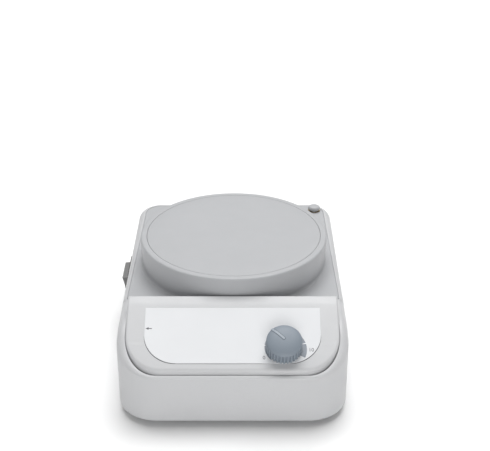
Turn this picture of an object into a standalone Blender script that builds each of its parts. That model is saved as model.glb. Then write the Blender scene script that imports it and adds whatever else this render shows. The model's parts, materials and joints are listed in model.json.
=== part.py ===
"""A compact magnetic stirrer with a round work plate, a speed knob on a sloping panel, a rocker switch
and a mains inlet. All sizes below are millimetres. Design frame: X = 0 is the housing's middle plane,
Y = 0 is the spin axis under the work plate, Z = 0 is the surface that the feet stand on. An empty moves
that frame so that the world origin is the bottom centre of the whole object's box."""

import math

import bmesh
import bpy
from mathutils import Euler, Matrix, Vector

MM = 0.001
GAP = 0.3  # between pieces that touch

# Overall housing
HALF_WIDTH = 76.5
FRONT_Y = -122.8
REAR_Y = 92.0
FRONT_CORNER = 27.0
REAR_CORNER = 17.0
FLOOR_Z = 4.0
WALL = 2.2
DECK_Z = 58.7
DECK_THICK = 2.5
FRONT_RAIL_Z = 41.4
SHOULDER_STEP_Y = -58.0  # in front of this the shoulder is as wide as the panel leaves room for
SHOULDER_FRONT = 5.6
SHOULDER_MIDDLE = 3.2

# Sloping control panel
PANEL_TILT = math.radians(28.0)
PANEL_FRONT_Y = -119.9
PANEL_FRONT_Z = 42.9
PANEL_RIDGE_Y = -75.6
BAND_TILT = math.radians(14.8)
PANEL_REAR_Y = -68.4
PANEL_HALF_WIDTH = 70.6
PANEL_CORNER = 24.2
PANEL_THICK = 2.4
PANEL_SKIRT = 11.0
PANEL_REAR_CORNER = 1.2

# Work plate and drum
PLATE_Z = 80.0
PLATE_R = 62.8
PLATE_THICK = 3.0
RIM_R = 67.5  # the drum's widest circle, just below its top edge
DRUM_R = 66.5  # where the drum's side meets the deck
DRUM_INNER_R = 64.0
LEDGE_R = 60.0
LEDGE_Z = 75.6

# Label, knob and potentiometer
LABEL_HALF_WIDTH = 58.0
LABEL_TOP = 3.9  # down the slope from the panel's ridge
LABEL_HEIGHT = 41.3
LABEL_CORNER = 21.5
LABEL_THICK = 0.4
KNOB_X = 33.5
KNOB_DOWN = 34.3  # down the slope from the panel's ridge
KNOB_R = 12.0
KNOB_SKIRT = 8.6  # height of the fluted part
KNOB_HEIGHT = 13.4
KNOB_FLUTES = 32
KNOB_POINTER = math.radians(134.0)  # where the pointer stands at rest, from the panel's +X
POT_SHAFT_R = 3.0

# Rocker switch in the left wall
SWITCH_Y = 12.5
SWITCH_Z = 30.3
SWITCH_WIDTH = 29.0
SWITCH_HEIGHT = 32.0
SWITCH_BEZEL = 1.8
ROCKER_WIDTH = 23.6
ROCKER_HEIGHT = 25.4
ROCKER_REACH = 6.0  # how far the raised end stands out of the wall

# Mains inlet in the rear wall
INLET_X = -38.0
INLET_Z = 27.0
INLET_WIDTH = 27.0
INLET_HEIGHT = 33.0
INLET_FLANGE = 1.5
INLET_DEPTH = 22.0
INLET_SCREW_X = 20.0  # from the middle of the inlet

# Support-rod hole in the deck
ROD_X = 63.6
ROD_Y = 79.6
ROD_HOLE_R = 3.4
ROD_BUSH_R = 4.5
PLUG_R = 4.8
PLUG_HEIGHT = 4.0

# Motor and drive
SHAFT_R = 2.5
SHAFT_LOW_Z = 13.5
SHAFT_TOP_Z = 64.0
BEARING_R = 6.5
BEARING_HEIGHT = 5.0
BEARING_LOW_Z = 15.0
BEARING_HIGH_Z = 33.0
TUBE_R = 8.6
MOTOR_BASE_Z = 12.0
MOTOR_BASE_THICK = 2.0
MOTOR_SCREW_RADIUS = 32.0
STATOR_R = 19.0
STATOR_Z = 21.0
STATOR_HEIGHT = 10.0
CUP_R = 25.0
CUP_TOP_Z = 43.0
CUP_LOW_Z = 18.0
CARRIER_Z = 54.0
CARRIER_R = 32.0
CARRIER_HEIGHT = 8.0
MAGNET_R = 9.0
MAGNET_X = 21.0
MAGNET_HEIGHT = 11.0

# Control board
BOARD_Y = -88.0
BOARD_Z = 17.0
BOARD_WIDTH = 100.0
BOARD_DEPTH = 44.0
BOARD_THICK = 1.6

# Feet and cover screws
FOOT_R = 7.0
FOOT_X = 60.0
FOOT_FRONT_Y = -104.0
FOOT_REAR_Y = 74.0
BOSS_X = 64.0
BOSS_FRONT_Y = -56.0
BOSS_REAR_Y = 58.0
BOSS_R = 4.2
SCREW_R = 1.5

# Where the design frame stands in the world
SWITCH_STANDS_OUT = ROCKER_REACH - 0.08
INLET_SCREW_HEAD = 2.0
INLET_STANDS_OUT = GAP + INLET_FLANGE + GAP + INLET_SCREW_HEAD
FRAME_X = SWITCH_STANDS_OUT / 2
FRAME_Y = -(FRONT_Y + REAR_Y + INLET_STANDS_OUT) / 2

COLOURS = {
    "housing_grey": ((0.62, 0.63, 0.64), 0.45, 0.0),
    "deck_grey": ((0.50, 0.51, 0.52), 0.45, 0.0),
    "label_white": ((0.84, 0.85, 0.86), 0.35, 0.0),
    "knob_grey": ((0.20, 0.24, 0.27), 0.45, 0.0),
    "black_plastic": ((0.02, 0.02, 0.02), 0.4, 0.0),
    "switch_grey": ((0.07, 0.07, 0.07), 0.4, 0.0),
    "rubber": ((0.04, 0.04, 0.04), 0.8, 0.0),
    "steel": ((0.55, 0.55, 0.56), 0.3, 1.0),
    "brass": ((0.75, 0.58, 0.25), 0.3, 1.0),
    "aluminium": ((0.70, 0.71, 0.72), 0.35, 1.0),
    "copper": ((0.72, 0.35, 0.18), 0.35, 1.0),
    "board_green": ((0.03, 0.22, 0.09), 0.5, 0.0),
    "ferrite": ((0.10, 0.10, 0.11), 0.6, 0.0),
    "glass": ((0.80, 0.85, 0.85), 0.1, 0.0),
    "wire_brown": ((0.20, 0.09, 0.04), 0.5, 0.0),
    "wire_blue": ((0.05, 0.12, 0.45), 0.5, 0.0),
    "wire_red": ((0.50, 0.03, 0.03), 0.5, 0.0),
}


def clear_scene():
    for thing in list(bpy.data.objects):
        bpy.data.objects.remove(thing, do_unlink=True)


def collection(name, hidden=False):
    made = bpy.data.collections.new(name)
    bpy.context.scene.collection.children.link(made)
    made.hide_render = hidden
    return made


clear_scene()
PARTS = collection("magnetic_stirrer")
CUTTERS = collection("cutters", hidden=True)


def empty(name, location=(0, 0, 0), rotation=(0, 0, 0), parent=None):
    """An axis for the pieces on it; location in millimetres."""
    made = bpy.data.objects.new(name, None)
    made.empty_display_size = 0.01
    made.location = Vector(location) * MM
    made.rotation_euler = Euler(rotation)
    made.parent = parent
    PARTS.objects.link(made)
    return made


def material(slot):
    if slot in bpy.data.materials:
        return bpy.data.materials[slot]
    colour, roughness, metallic = COLOURS[slot]
    made = bpy.data.materials.new(slot)
    made.use_nodes = True
    shader = made.node_tree.nodes["Principled BSDF"]
    shader.inputs["Base Color"].default_value = (*colour, 1)
    shader.inputs["Roughness"].default_value = roughness
    shader.inputs["Metallic"].default_value = metallic
    made.diffuse_color = (*colour, 1)
    return made


def place(name, mesh, slot, location, rotation, parent):
    """A node when slot names its material, or a hidden cutter when slot is None."""
    made = bpy.data.objects.new(name, mesh)
    made.location = Vector(location) * MM
    made.rotation_euler = Euler(rotation)
    made.parent = parent
    if slot is None:
        made.hide_render = True
        made.display_type = "WIRE"
        CUTTERS.objects.link(made)
        return made
    mesh.materials.append(material(slot))
    PARTS.objects.link(made)
    return made


def finish_mesh(work, name, smooth_angle=35):
    """Turns a bmesh in millimetres into a mesh in metres with its faces pointing out."""
    bmesh.ops.scale(work, vec=(MM, MM, MM), verts=work.verts)
    bmesh.ops.recalc_face_normals(work, faces=work.faces)
    mesh = bpy.data.meshes.new(name)
    work.to_mesh(mesh)
    work.free()
    mesh.shade_smooth()
    mesh.set_sharp_from_angle(angle=math.radians(smooth_angle))
    return mesh


def box(name, size, slot, location=(0, 0, 0), rotation=(0, 0, 0), parent=None, bevel=0.0):
    work = bmesh.new()
    bmesh.ops.create_cube(work, size=1, matrix=Matrix.Diagonal((*size, 1)))
    made = place(name, finish_mesh(work, name), slot, location, rotation, parent)
    if bevel:
        add_bevel(made, bevel)
    return made


def cylinder(name, radius, height, slot, location=(0, 0, 0), rotation=(0, 0, 0), parent=None,
             segments=24, top_radius=None):
    """A cylinder or cone that stands on its location."""
    work = bmesh.new()
    middle = Matrix.Translation((0, 0, height / 2))
    bmesh.ops.create_cone(work, cap_ends=True, segments=segments, radius1=radius,
                          radius2=radius if top_radius is None else top_radius,
                          depth=height, matrix=middle)
    return place(name, finish_mesh(work, name), slot, location, rotation, parent)


def signed_area(points):
    """Positive where the points run anticlockwise."""
    pairs = zip(points, points[1:] + points[:1])
    return sum(a[0] * b[1] - b[0] * a[1] for a, b in pairs) / 2


def turned(name, profile, slot, location=(0, 0, 0), rotation=(0, 0, 0), parent=None, steps=32,
           closed=False):
    """A profile of (radius, height) points, outer side from top to bottom, turned round Z."""
    mesh = bpy.data.meshes.new(name)
    if closed and signed_area(profile) > 0:
        profile = profile[::-1]
    points = [(radius * MM, 0, height * MM) for radius, height in profile]
    edges = [(i, i + 1) for i in range(len(points) - 1)]
    if closed:
        edges.append((len(points) - 1, 0))
    mesh.from_pydata(points, edges, [])
    made = place(name, mesh, slot, location, rotation, parent)
    screw = made.modifiers.new("turn", "SCREW")
    screw.steps = steps
    screw.render_steps = steps
    screw.use_merge_vertices = True
    screw.merge_threshold = 0.00001
    screw.use_smooth_shade = True
    return made


def ring(name, outer, inner, low, high, slot, parent=None, steps=32, location=(0, 0, 0),
         rotation=(0, 0, 0)):
    """A plain tube between two radii and two heights."""
    profile = [(inner, high), (outer, high), (outer, low), (inner, low)]
    return turned(name, profile, slot, location, rotation, parent, steps, closed=True)


def add_bevel(thing, width, segments=2, angle=40):
    bevel = thing.modifiers.new("rounding", "BEVEL")
    bevel.width = width * MM
    bevel.segments = segments
    bevel.limit_method = "ANGLE"
    bevel.angle_limit = math.radians(angle)
    bevel.use_clamp_overlap = True
    return bevel


def boolean(target, tool, operation):
    step = target.modifiers.new(tool.name, "BOOLEAN")
    step.operation = operation
    step.solver = "EXACT"
    step.object = tool
    return step


def cut(target, tool):
    return boolean(target, tool, "DIFFERENCE")


def join(target, tool):
    """Adds a hidden piece to a node, so that the two are one solid."""
    return boolean(target, tool, "UNION")


def settle(thing):
    """Replaces an object's modifiers by the mesh that they make."""
    graph = bpy.context.evaluated_depsgraph_get()
    mesh = bpy.data.meshes.new_from_object(thing.evaluated_get(graph))
    thing.modifiers.clear()
    thing.data = mesh
    return thing


def rounded_outline(half_width, front, back, front_radius, back_radius, corner_steps, stations=()):
    """Points and outward normals round a plan outline, anticlockwise from the front left corner.
    stations are extra Y places on both straight sides."""
    corners = (
        (-half_width + front_radius, front + front_radius, front_radius, 180),
        (half_width - front_radius, front + front_radius, front_radius, 270),
        (half_width - back_radius, back - back_radius, back_radius, 0),
        (-half_width + back_radius, back - back_radius, back_radius, 90),
    )
    found = []
    for number, (x, y, radius, start) in enumerate(corners):
        for step in range(corner_steps + 1):
            angle = math.radians(start + 90 * step / corner_steps)
            normal = Vector((math.cos(angle), math.sin(angle)))
            found.append((Vector((x, y)) + radius * normal, normal))
        if number == 1:
            found += [(Vector((half_width, at)), Vector((1, 0))) for at in sorted(stations)]
    left = [(Vector((-half_width, at)), Vector((-1, 0))) for at in sorted(stations, reverse=True)]
    return found + left


def loft(name, rings, slot, location=(0, 0, 0), rotation=(0, 0, 0), parent=None, caps=(True, True)):
    """A closed skin over rings of (x, y, z) points, with a flat cap at each end."""
    work = bmesh.new()
    rows = [[work.verts.new(point) for point in points] for points in rings]
    count = len(rows[0])
    for low, high in zip(rows, rows[1:]):
        for i in range(count):
            j = (i + 1) % count
            work.faces.new((low[i], low[j], high[j], high[i]))
    if caps[0]:
        work.faces.new(rows[0])
    if caps[1]:
        work.faces.new(rows[-1])
    return place(name, finish_mesh(work, name), slot, location, rotation, parent)


def prism(name, outline, low, high, slot, location=(0, 0, 0), rotation=(0, 0, 0), parent=None):
    """A plan outline of (x, y) points extruded between two heights."""
    rings = [[(x, y, z) for x, y in outline] for z in (low, high)]
    return loft(name, rings, slot, location, rotation, parent)


def wire(name, points, radius, slot, parent):
    """An insulated lead along hand-placed points, smoothed and drawn as a thin tube."""
    curve = bpy.data.curves.new(name, "CURVE")
    curve.dimensions = "3D"
    curve.bevel_depth = radius * MM
    curve.bevel_resolution = 1
    curve.use_fill_caps = True
    smooth = smoothed([Vector(point) for point in points], 5)
    spline = curve.splines.new("POLY")
    spline.points.add(len(smooth) - 1)
    for target, point in zip(spline.points, smooth):
        target.co = (*(point * MM), 1)
    curve.materials.append(material(slot))
    made = bpy.data.objects.new(name, curve)
    made.parent = parent
    PARTS.objects.link(made)
    return made


def smoothed(points, pieces):
    """A Catmull-Rom curve through the points, with this many pieces in each span."""
    ends = [2 * points[0] - points[1]] + points + [2 * points[-1] - points[-2]]
    found = []
    for a, b, c, d in zip(ends, ends[1:], ends[2:], ends[3:]):
        for step in range(pieces):
            t = step / pieces
            found.append(0.5 * (2 * b + (c - a) * t + (2 * a - 5 * b + 4 * c - d) * t * t
                                + (3 * b - a - 3 * c + d) * t ** 3))
    return found + [points[-1]]


# ---- heights and insets that several pieces share ----

def panel_height(y):
    """Height of the panel's face: the slope, then the flatter band up to the ridge."""
    slope = PANEL_FRONT_Z + math.tan(PANEL_TILT) * (min(y, PANEL_RIDGE_Y) - PANEL_FRONT_Y)
    return slope + math.tan(BAND_TILT) * max(0.0, y - PANEL_RIDGE_Y)


def rail_height(y):
    """Height of the lower shell's rail: it climbs beside the panel, then runs level with the deck."""
    climb = FRONT_RAIL_Z + math.tan(PANEL_TILT) * (y - FRONT_Y)
    return min(climb, DECK_Z)


def shoulder_width(point, normal):
    """How far the rounded shoulder reaches in from the wall: most beside the panel and at the rear."""
    along = max(0.0, min(1.0, (point.y - SHOULDER_STEP_Y) / 130))
    side = SHOULDER_FRONT if point.y < SHOULDER_STEP_Y else SHOULDER_MIDDLE + 2.2 * along
    end = 2.3 if normal.y < 0 else 4.0
    return side * normal.x ** 2 + end * normal.y ** 2


def shoulder_drop(normal):
    end = 2.2 if normal.y < 0 else 4.5
    return 7.0 * normal.x ** 2 + end * normal.y ** 2


def shell_ring(outline, inset, height):
    """One ring of the lower shell; inset and height are functions of a point and its normal."""
    found = []
    for point, normal in outline:
        at = point - normal * inset(point, normal)
        found.append((at.x, at.y, height(point, normal)))
    return found


def lower_shell(frame):
    """The tub: floor, walls and the rounded rail round the deck and the panel."""
    stations = (-94, -91.5, -89, -86, -80, SHOULDER_STEP_Y - 1, SHOULDER_STEP_Y + 1, -54, 0)
    outline = rounded_outline(HALF_WIDTH, FRONT_Y, REAR_Y, FRONT_CORNER, REAR_CORNER, 8, stations)
    rings = [
        shell_ring(outline, lambda p, n: 1.5, lambda p, n: FLOOR_Z),
        shell_ring(outline, lambda p, n: 0.0, lambda p, n: FLOOR_Z + 2.0),
    ]
    for angle in (0, 30, 60, 90):
        turn = math.radians(angle)
        rings.append(shell_ring(
            outline,
            lambda p, n: shoulder_width(p, n) * (1 - math.cos(turn)),
            lambda p, n: rail_height(p.y) - shoulder_drop(n) * (1 - math.sin(turn))))
    rings += [
        shell_ring(outline, shoulder_width, lambda p, n: rail_height(p.y) - 2.6),
        shell_ring(outline, lambda p, n: WALL,
                   lambda p, n: rail_height(p.y) - shoulder_drop(n) - 2.0),
        shell_ring(outline, lambda p, n: WALL, lambda p, n: FLOOR_Z + WALL),
    ]
    tub = loft("lower_shell", rings, "housing_grey", parent=frame)
    switch_hole = box("switch_hole", (10, SWITCH_WIDTH - 2.4, SWITCH_HEIGHT - 2.4), None,
                      (-HALF_WIDTH, SWITCH_Y, SWITCH_Z), parent=frame)
    inlet_hole = box("inlet_hole", (INLET_WIDTH - 2, 10, INLET_HEIGHT - 2), None,
                     (INLET_X, REAR_Y, INLET_Z), parent=frame)
    cut(tub, switch_hole)
    cut(tub, inlet_hole)
    cut(tub, floor_openings(frame))
    return settle(tub)


def floor_openings(frame):
    """One cutter for the vent slots, the feet's stems, the cover screws and the inlet's screws."""
    work = bmesh.new()
    holes = [(x, y, FOOT_R * 0.4 + GAP) for x, y in foot_places()]
    holes += [(x, y, SCREW_R + GAP) for x, y in boss_places() + motor_places() + board_places()]
    for x, y, radius in holes:
        bmesh.ops.create_cone(work, cap_ends=True, segments=16, radius1=radius, radius2=radius,
                              depth=WALL + 4, matrix=Matrix.Translation((x, y, FLOOR_Z + WALL / 2)))
    for row in (-1, 1):
        for number in range(6):
            middle = Matrix.Translation(((number - 2.5) * 8.0, 58.0 + row * 11.0, FLOOR_Z + 1))
            bmesh.ops.create_cube(work, size=1, matrix=middle @ Matrix.Diagonal((3.0, 16.0, 8.0, 1)))
    for side in (-1, 1):
        matrix = (Matrix.Translation((INLET_X + side * INLET_SCREW_X, REAR_Y, INLET_Z))
                  @ Matrix.Rotation(math.radians(90), 4, "X"))
        bmesh.ops.create_cone(work, cap_ends=True, segments=16, radius1=SCREW_R + GAP,
                              radius2=SCREW_R + GAP, depth=12, matrix=matrix)
    return place("floor_openings", finish_mesh(work, "floor_openings"), None, (0, 0, 0), (0, 0, 0), frame)


def foot_places():
    return [(x, y) for x in (-FOOT_X, FOOT_X) for y in (FOOT_FRONT_Y, FOOT_REAR_Y)]


def boss_places():
    return [(x, y) for x in (-BOSS_X, BOSS_X) for y in (BOSS_FRONT_Y, BOSS_REAR_Y)]


def motor_places():
    angles = (math.radians(90 + 120 * number) for number in range(3))
    return [(MOTOR_SCREW_RADIUS * math.cos(a), MOTOR_SCREW_RADIUS * math.sin(a)) for a in angles]


def board_places():
    return [(side * (BOARD_WIDTH / 2 - 5), BOARD_Y) for side in (-1, 1)]


def deck_outline():
    """The deck's edge: wide at the front corners, then in to fit behind the panel."""
    clear = GAP + 0.05
    rear = rounded_outline(HALF_WIDTH - 5.4 - clear, -50, REAR_Y - 4.0 - clear, 1, REAR_CORNER - 4.5, 6)
    side = HALF_WIDTH - SHOULDER_MIDDLE - 0.1 - clear
    right = [(side, SHOULDER_STEP_Y + 1.5), (side, SHOULDER_STEP_Y + 4)]
    front = [(PANEL_HALF_WIDTH, PANEL_REAR_Y + clear), (PANEL_HALF_WIDTH, SHOULDER_STEP_Y - 0.9)]
    half = front + right
    tail = [tuple(point) for point, normal in rear[14:]]
    return [(-x, y) for x, y in reversed(half)] + half + tail


def upper_deck(frame):
    """Deck plate with the drum that carries the work plate, and four screw bosses."""
    deck = prism("upper_deck", deck_outline(), DECK_Z - DECK_THICK, DECK_Z, "deck_grey", parent=frame)
    groove = PLATE_R + 0.4
    drum = turned("drum_wall", [
        (groove, LEDGE_Z), (groove, PLATE_Z), (RIM_R - 1.0, PLATE_Z), (RIM_R - 0.3, PLATE_Z - 0.4),
        (RIM_R, PLATE_Z - 1.2), (DRUM_R, DECK_Z + 1.4), (DRUM_R + 0.6, DECK_Z + 0.3),
        (DRUM_R + 0.6, DECK_Z - DECK_THICK - 1), (DRUM_INNER_R, DECK_Z - DECK_THICK - 1),
        (DRUM_INNER_R, LEDGE_Z - 1.6), (LEDGE_R, LEDGE_Z - 1.6), (LEDGE_R, LEDGE_Z)],
        None, parent=frame, steps=48, closed=True)
    opening = cylinder("drum_opening", DRUM_INNER_R + 0.5, 6, None,
                       (0, 0, DECK_Z - DECK_THICK - 2), parent=frame, segments=48)
    cut(deck, opening)
    join(deck, settle(drum))
    for number, (x, y) in enumerate(boss_places()):
        boss = ring(f"boss_{number}", BOSS_R, SCREW_R + GAP, FLOOR_Z + WALL + GAP, DECK_Z - 1.0,
                    None, parent=frame, steps=16, location=(x, y, 0))
        join(deck, settle(boss))
    bore = cylinder("bush_bore", ROD_BUSH_R + GAP, 30, None, (ROD_X, ROD_Y, DECK_Z - 20), parent=frame)
    cut(deck, bore)
    return settle(deck)


def panel_solid(name, lift, slot, frame):
    """All the space under the panel's face, moved up by lift and wider than the panel."""
    front, rear = PANEL_FRONT_Y - 5, PANEL_REAR_Y + 5
    profile = [(y, panel_height(y) + lift) for y in (front, PANEL_RIDGE_Y, rear)]
    profile += [(rear, 20), (front, 20)]
    reach = PANEL_HALF_WIDTH + 5
    rings = [[(x, y, z) for y, z in profile] for x in (-reach, reach)]
    return loft(name, rings, slot, parent=frame)


def panel_plan(name, inset, frame):
    """The panel's plan outline, moved in by inset, as a tall block."""
    outline = rounded_outline(PANEL_HALF_WIDTH - inset, PANEL_FRONT_Y + inset, PANEL_REAR_Y - inset,
                              PANEL_CORNER - inset, PANEL_REAR_CORNER, 8)
    return prism(name, [tuple(point) for point, normal in outline], 0, 90, None, parent=frame)


def control_panel(frame):
    """The sloping front panel: an open-bottomed shell with rounded front corners."""
    panel = panel_solid("control_panel", 0, "housing_grey", frame)
    boolean(panel, panel_plan("panel_outline", 0, frame), "INTERSECT")
    inside = panel_solid("panel_inside", -PANEL_THICK / math.cos(PANEL_TILT), None, frame)
    boolean(inside, panel_plan("panel_inside_outline", PANEL_THICK, frame), "INTERSECT")
    cut(panel, settle(inside))
    cut(panel, panel_solid("panel_below", -PANEL_SKIRT, None, frame))
    cut(panel, cylinder("pot_hole", 3.6 + GAP, 20, None, (KNOB_X, -KNOB_DOWN, -12), parent=panel_plane()))
    add_bevel(settle(panel), 0.9, 1, 50)
    return settle(panel)


def panel_plane():
    """An empty whose X runs right and Y runs up the slope, with its origin on the panel's ridge."""
    name = "panel_plane"
    if name in bpy.data.objects:
        return bpy.data.objects[name]
    frame = bpy.data.objects["frame"]
    return empty(name, (0, PANEL_RIDGE_Y, panel_height(PANEL_RIDGE_Y)), (PANEL_TILT, 0, 0), frame)


def front_label(plane):
    """The printed film: square upper corners, large round lower corners."""
    bottom = -LABEL_TOP - LABEL_HEIGHT
    outline = [(LABEL_HALF_WIDTH, -LABEL_TOP), (-LABEL_HALF_WIDTH, -LABEL_TOP)]
    for start, side in ((180, -1), (270, 1)):
        for step in range(9):
            angle = math.radians(start + 90 * step / 8)
            outline.append((side * (LABEL_HALF_WIDTH - LABEL_CORNER) + LABEL_CORNER * math.cos(angle),
                            bottom + LABEL_CORNER + LABEL_CORNER * math.sin(angle)))
    label = prism("front_label", outline, 0.05 + GAP, 0.05 + GAP + LABEL_THICK, "label_white", parent=plane)
    hole = cylinder("label_hole", 6.0, 4, None, (KNOB_X, -KNOB_DOWN, -1), parent=plane)
    cut(label, hole)
    return settle(label)


# ---- speed control ----

def fluted_circle(radius, depth, height):
    """A ring whose radius dips in at each flute."""
    found = []
    for step in range(KNOB_FLUTES * 4):
        dip = depth if step % 4 in (2, 3) else 0.0
        angle = 2 * math.pi * (step + 0.5) / (KNOB_FLUTES * 4)
        found.append(((radius - dip) * math.cos(angle), (radius - dip) * math.sin(angle), height))
    return found


def speed_knob(axis):
    """Fluted skirt, domed top with a raised pointer, and a blind bore for the shaft."""
    rings = [fluted_circle(KNOB_R, 0.8, 1.2), fluted_circle(KNOB_R - 0.3, 0.8, KNOB_SKIRT)]
    dome = ((KNOB_R - 0.5, KNOB_SKIRT + 0.8), (10.4, KNOB_HEIGHT - 2.4), (7.6, KNOB_HEIGHT - 0.9),
            (2.0, KNOB_HEIGHT))
    for radius, height in dome:
        rings.append(fluted_circle(radius, 0.0, height))
    knob = loft("speed_knob", rings, "knob_grey", parent=axis)
    out = 5.8  # from the knob's axis to the middle of its pointer
    pointer = box("knob_pointer", (11.6, 1.7, 4.0), None,
                  (out * math.cos(KNOB_POINTER), out * math.sin(KNOB_POINTER), KNOB_HEIGHT - 2.8),
                  (0, math.radians(15), KNOB_POINTER), parent=axis)
    join(knob, pointer)
    cut(knob, cylinder("knob_bore", POT_SHAFT_R + GAP, 9.0, None, (0, 0, 0), parent=axis))
    cut(knob, cylinder("knob_hollow", 10.0, 2.0, None, (0, 0, 0.5), parent=axis))
    return settle(knob)


def potentiometer(axis, knob_axis):
    """Can with its threaded bushing, nut, and the shaft that turns with the knob."""
    under = -PANEL_THICK - GAP - 0.4
    turned("pot_body", [
        (0, under - 7.5), (POT_SHAFT_R + 0.1, under - 7.5), (POT_SHAFT_R + 0.1, 0.9), (3.6, 0.9),
        (3.6, under), (8.5, under), (8.5, under - 9.0), (0, under - 9.0)], "steel", parent=axis,
        steps=24)
    ring("pot_nut", 5.7, 4.5, GAP, 1.3, "steel", axis, 6)
    turned("pot_shaft", [(0, 8.4), (POT_SHAFT_R, 8.4), (POT_SHAFT_R, under - 7.0), (0, under - 7.0)],
           "aluminium", parent=knob_axis, steps=24)


# ---- motor and drive, on the spin axis ----

def motor(frame, spin):
    """Fixed base, bearing tube and stator; turning cup, shaft, magnet carrier and magnets."""
    base = turned("motor_base", [
        (TUBE_R, BEARING_HIGH_Z + BEARING_HEIGHT + 1), (TUBE_R, MOTOR_BASE_Z + MOTOR_BASE_THICK),
        (38, MOTOR_BASE_Z + MOTOR_BASE_THICK), (38, MOTOR_BASE_Z), (3.5, MOTOR_BASE_Z),
        (3.5, BEARING_LOW_Z - GAP), (BEARING_R + GAP, BEARING_LOW_Z - GAP),
        (BEARING_R + GAP, BEARING_HIGH_Z + BEARING_HEIGHT + 1)], "aluminium", parent=frame, steps=24,
        closed=True)
    for number, (x, y) in enumerate(motor_places()):
        hole = cylinder(f"motor_base_hole_{number}", 3.0 + GAP, 8, None, (x, y, MOTOR_BASE_Z - 3),
                        parent=frame, segments=16)
        cut(base, hole)
        turned(f"motor_grommet_{number}", [
            (5.0, MOTOR_BASE_Z + 4.3), (5.0, MOTOR_BASE_Z + 2.3), (3.0, MOTOR_BASE_Z + 2.3),
            (3.0, MOTOR_BASE_Z - GAP), (5.0, MOTOR_BASE_Z - GAP), (5.0, FLOOR_Z + WALL + GAP),
            (SCREW_R + GAP, FLOOR_Z + WALL + GAP), (SCREW_R + GAP, MOTOR_BASE_Z + 4.3)],
            "rubber", (x, y, 0), parent=frame, steps=16, closed=True)
        turned(f"motor_screw_{number}", [
            (0, MOTOR_BASE_Z + 6.6), (3.2, MOTOR_BASE_Z + 6.0), (3.2, MOTOR_BASE_Z + 4.6),
            (SCREW_R, MOTOR_BASE_Z + 4.6), (SCREW_R, FLOOR_Z - 0.5), (0, FLOOR_Z - 0.5)],
            "steel", (x, y, 0), parent=frame, steps=12)
    settle(base)
    for place_name, low in (("lower", BEARING_LOW_Z), ("upper", BEARING_HIGH_Z)):
        ring(f"bearing_{place_name}", BEARING_R, SHAFT_R + GAP, low + BEARING_HEIGHT, low, "steel",
             frame, 24)
    stator(frame)
    turned("motor_shaft", [(0, SHAFT_TOP_Z), (SHAFT_R, SHAFT_TOP_Z), (SHAFT_R, SHAFT_LOW_Z),
                           (0, SHAFT_LOW_Z)], "steel", parent=spin, steps=20)
    turned("rotor_cup", [
        (SHAFT_R + GAP, CUP_TOP_Z + 5), (6.5, CUP_TOP_Z + 5), (6.5, CUP_TOP_Z), (CUP_R - 2, CUP_TOP_Z),
        (CUP_R, CUP_TOP_Z - 2), (CUP_R, CUP_LOW_Z), (CUP_R - 1.4, CUP_LOW_Z),
        (CUP_R - 1.4, CUP_TOP_Z - 2.2), (SHAFT_R + GAP, CUP_TOP_Z - 2.2)], "steel", parent=spin,
        steps=28, closed=True)
    ring("rotor_magnet_ring", CUP_R - 1.4 - GAP, STATOR_R + 1.0, CUP_LOW_Z + 15, CUP_LOW_Z + 1,
         "ferrite", spin, 28)
    carrier(spin)


def stator(frame):
    """Six laminated poles round the bearing tube, and one winding ring under them."""
    core = ring("stator_core", 12.5, TUBE_R + GAP, STATOR_Z + STATOR_HEIGHT, STATOR_Z, "steel", frame, 36)
    for number in range(3):
        pole = box(f"stator_pole_{number}", (2 * STATOR_R - 1, 6.0, STATOR_HEIGHT), None,
                   (0, 0, STATOR_Z + STATOR_HEIGHT / 2), (0, 0, math.radians(60 * number)), frame)
        join(core, pole)
    bore = cylinder("stator_bore", TUBE_R + GAP, 20, None, (0, 0, STATOR_Z - 5), parent=frame, segments=36)
    cut(core, bore)
    settle(core)
    ring("stator_winding", 17.0, TUBE_R + GAP, STATOR_Z - GAP, STATOR_Z - 4.0, "copper", frame, 24)


def carrier(spin):
    """Round carrier on the shaft's end with a pocket for each drive magnet."""
    top = CARRIER_Z + CARRIER_HEIGHT
    hub = turned("magnet_carrier", [
        (SHAFT_R + GAP, top), (CARRIER_R, top), (CARRIER_R, top - 4), (9, top - 4), (9, CARRIER_Z - 4),
        (SHAFT_R + GAP, CARRIER_Z - 4)], "black_plastic", parent=spin, steps=32, closed=True)
    for number, side in enumerate((-1, 1)):
        seat = cylinder(f"magnet_seat_{number}", MAGNET_R + GAP, 6, None,
                        (side * MAGNET_X, 0, top - 2), parent=spin, segments=20)
        cut(hub, seat)
        cylinder(f"drive_magnet_{'north' if side > 0 else 'south'}", MAGNET_R, MAGNET_HEIGHT, "steel",
                 (side * MAGNET_X, 0, top - 2 + GAP), parent=spin, segments=20)
    hole = cylinder("grub_hole", SCREW_R + GAP, 12, None, (0, -1, CARRIER_Z - 1),
                    (math.radians(90), 0, 0), spin, 12)
    cut(hub, hole)
    settle(hub)
    cylinder("carrier_grub_screw", SCREW_R, 5.5, "steel", (0, -SHAFT_R - GAP, CARRIER_Z - 1),
             (math.radians(90), 0, 0), spin, 12)


# ---- control board ----

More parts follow.
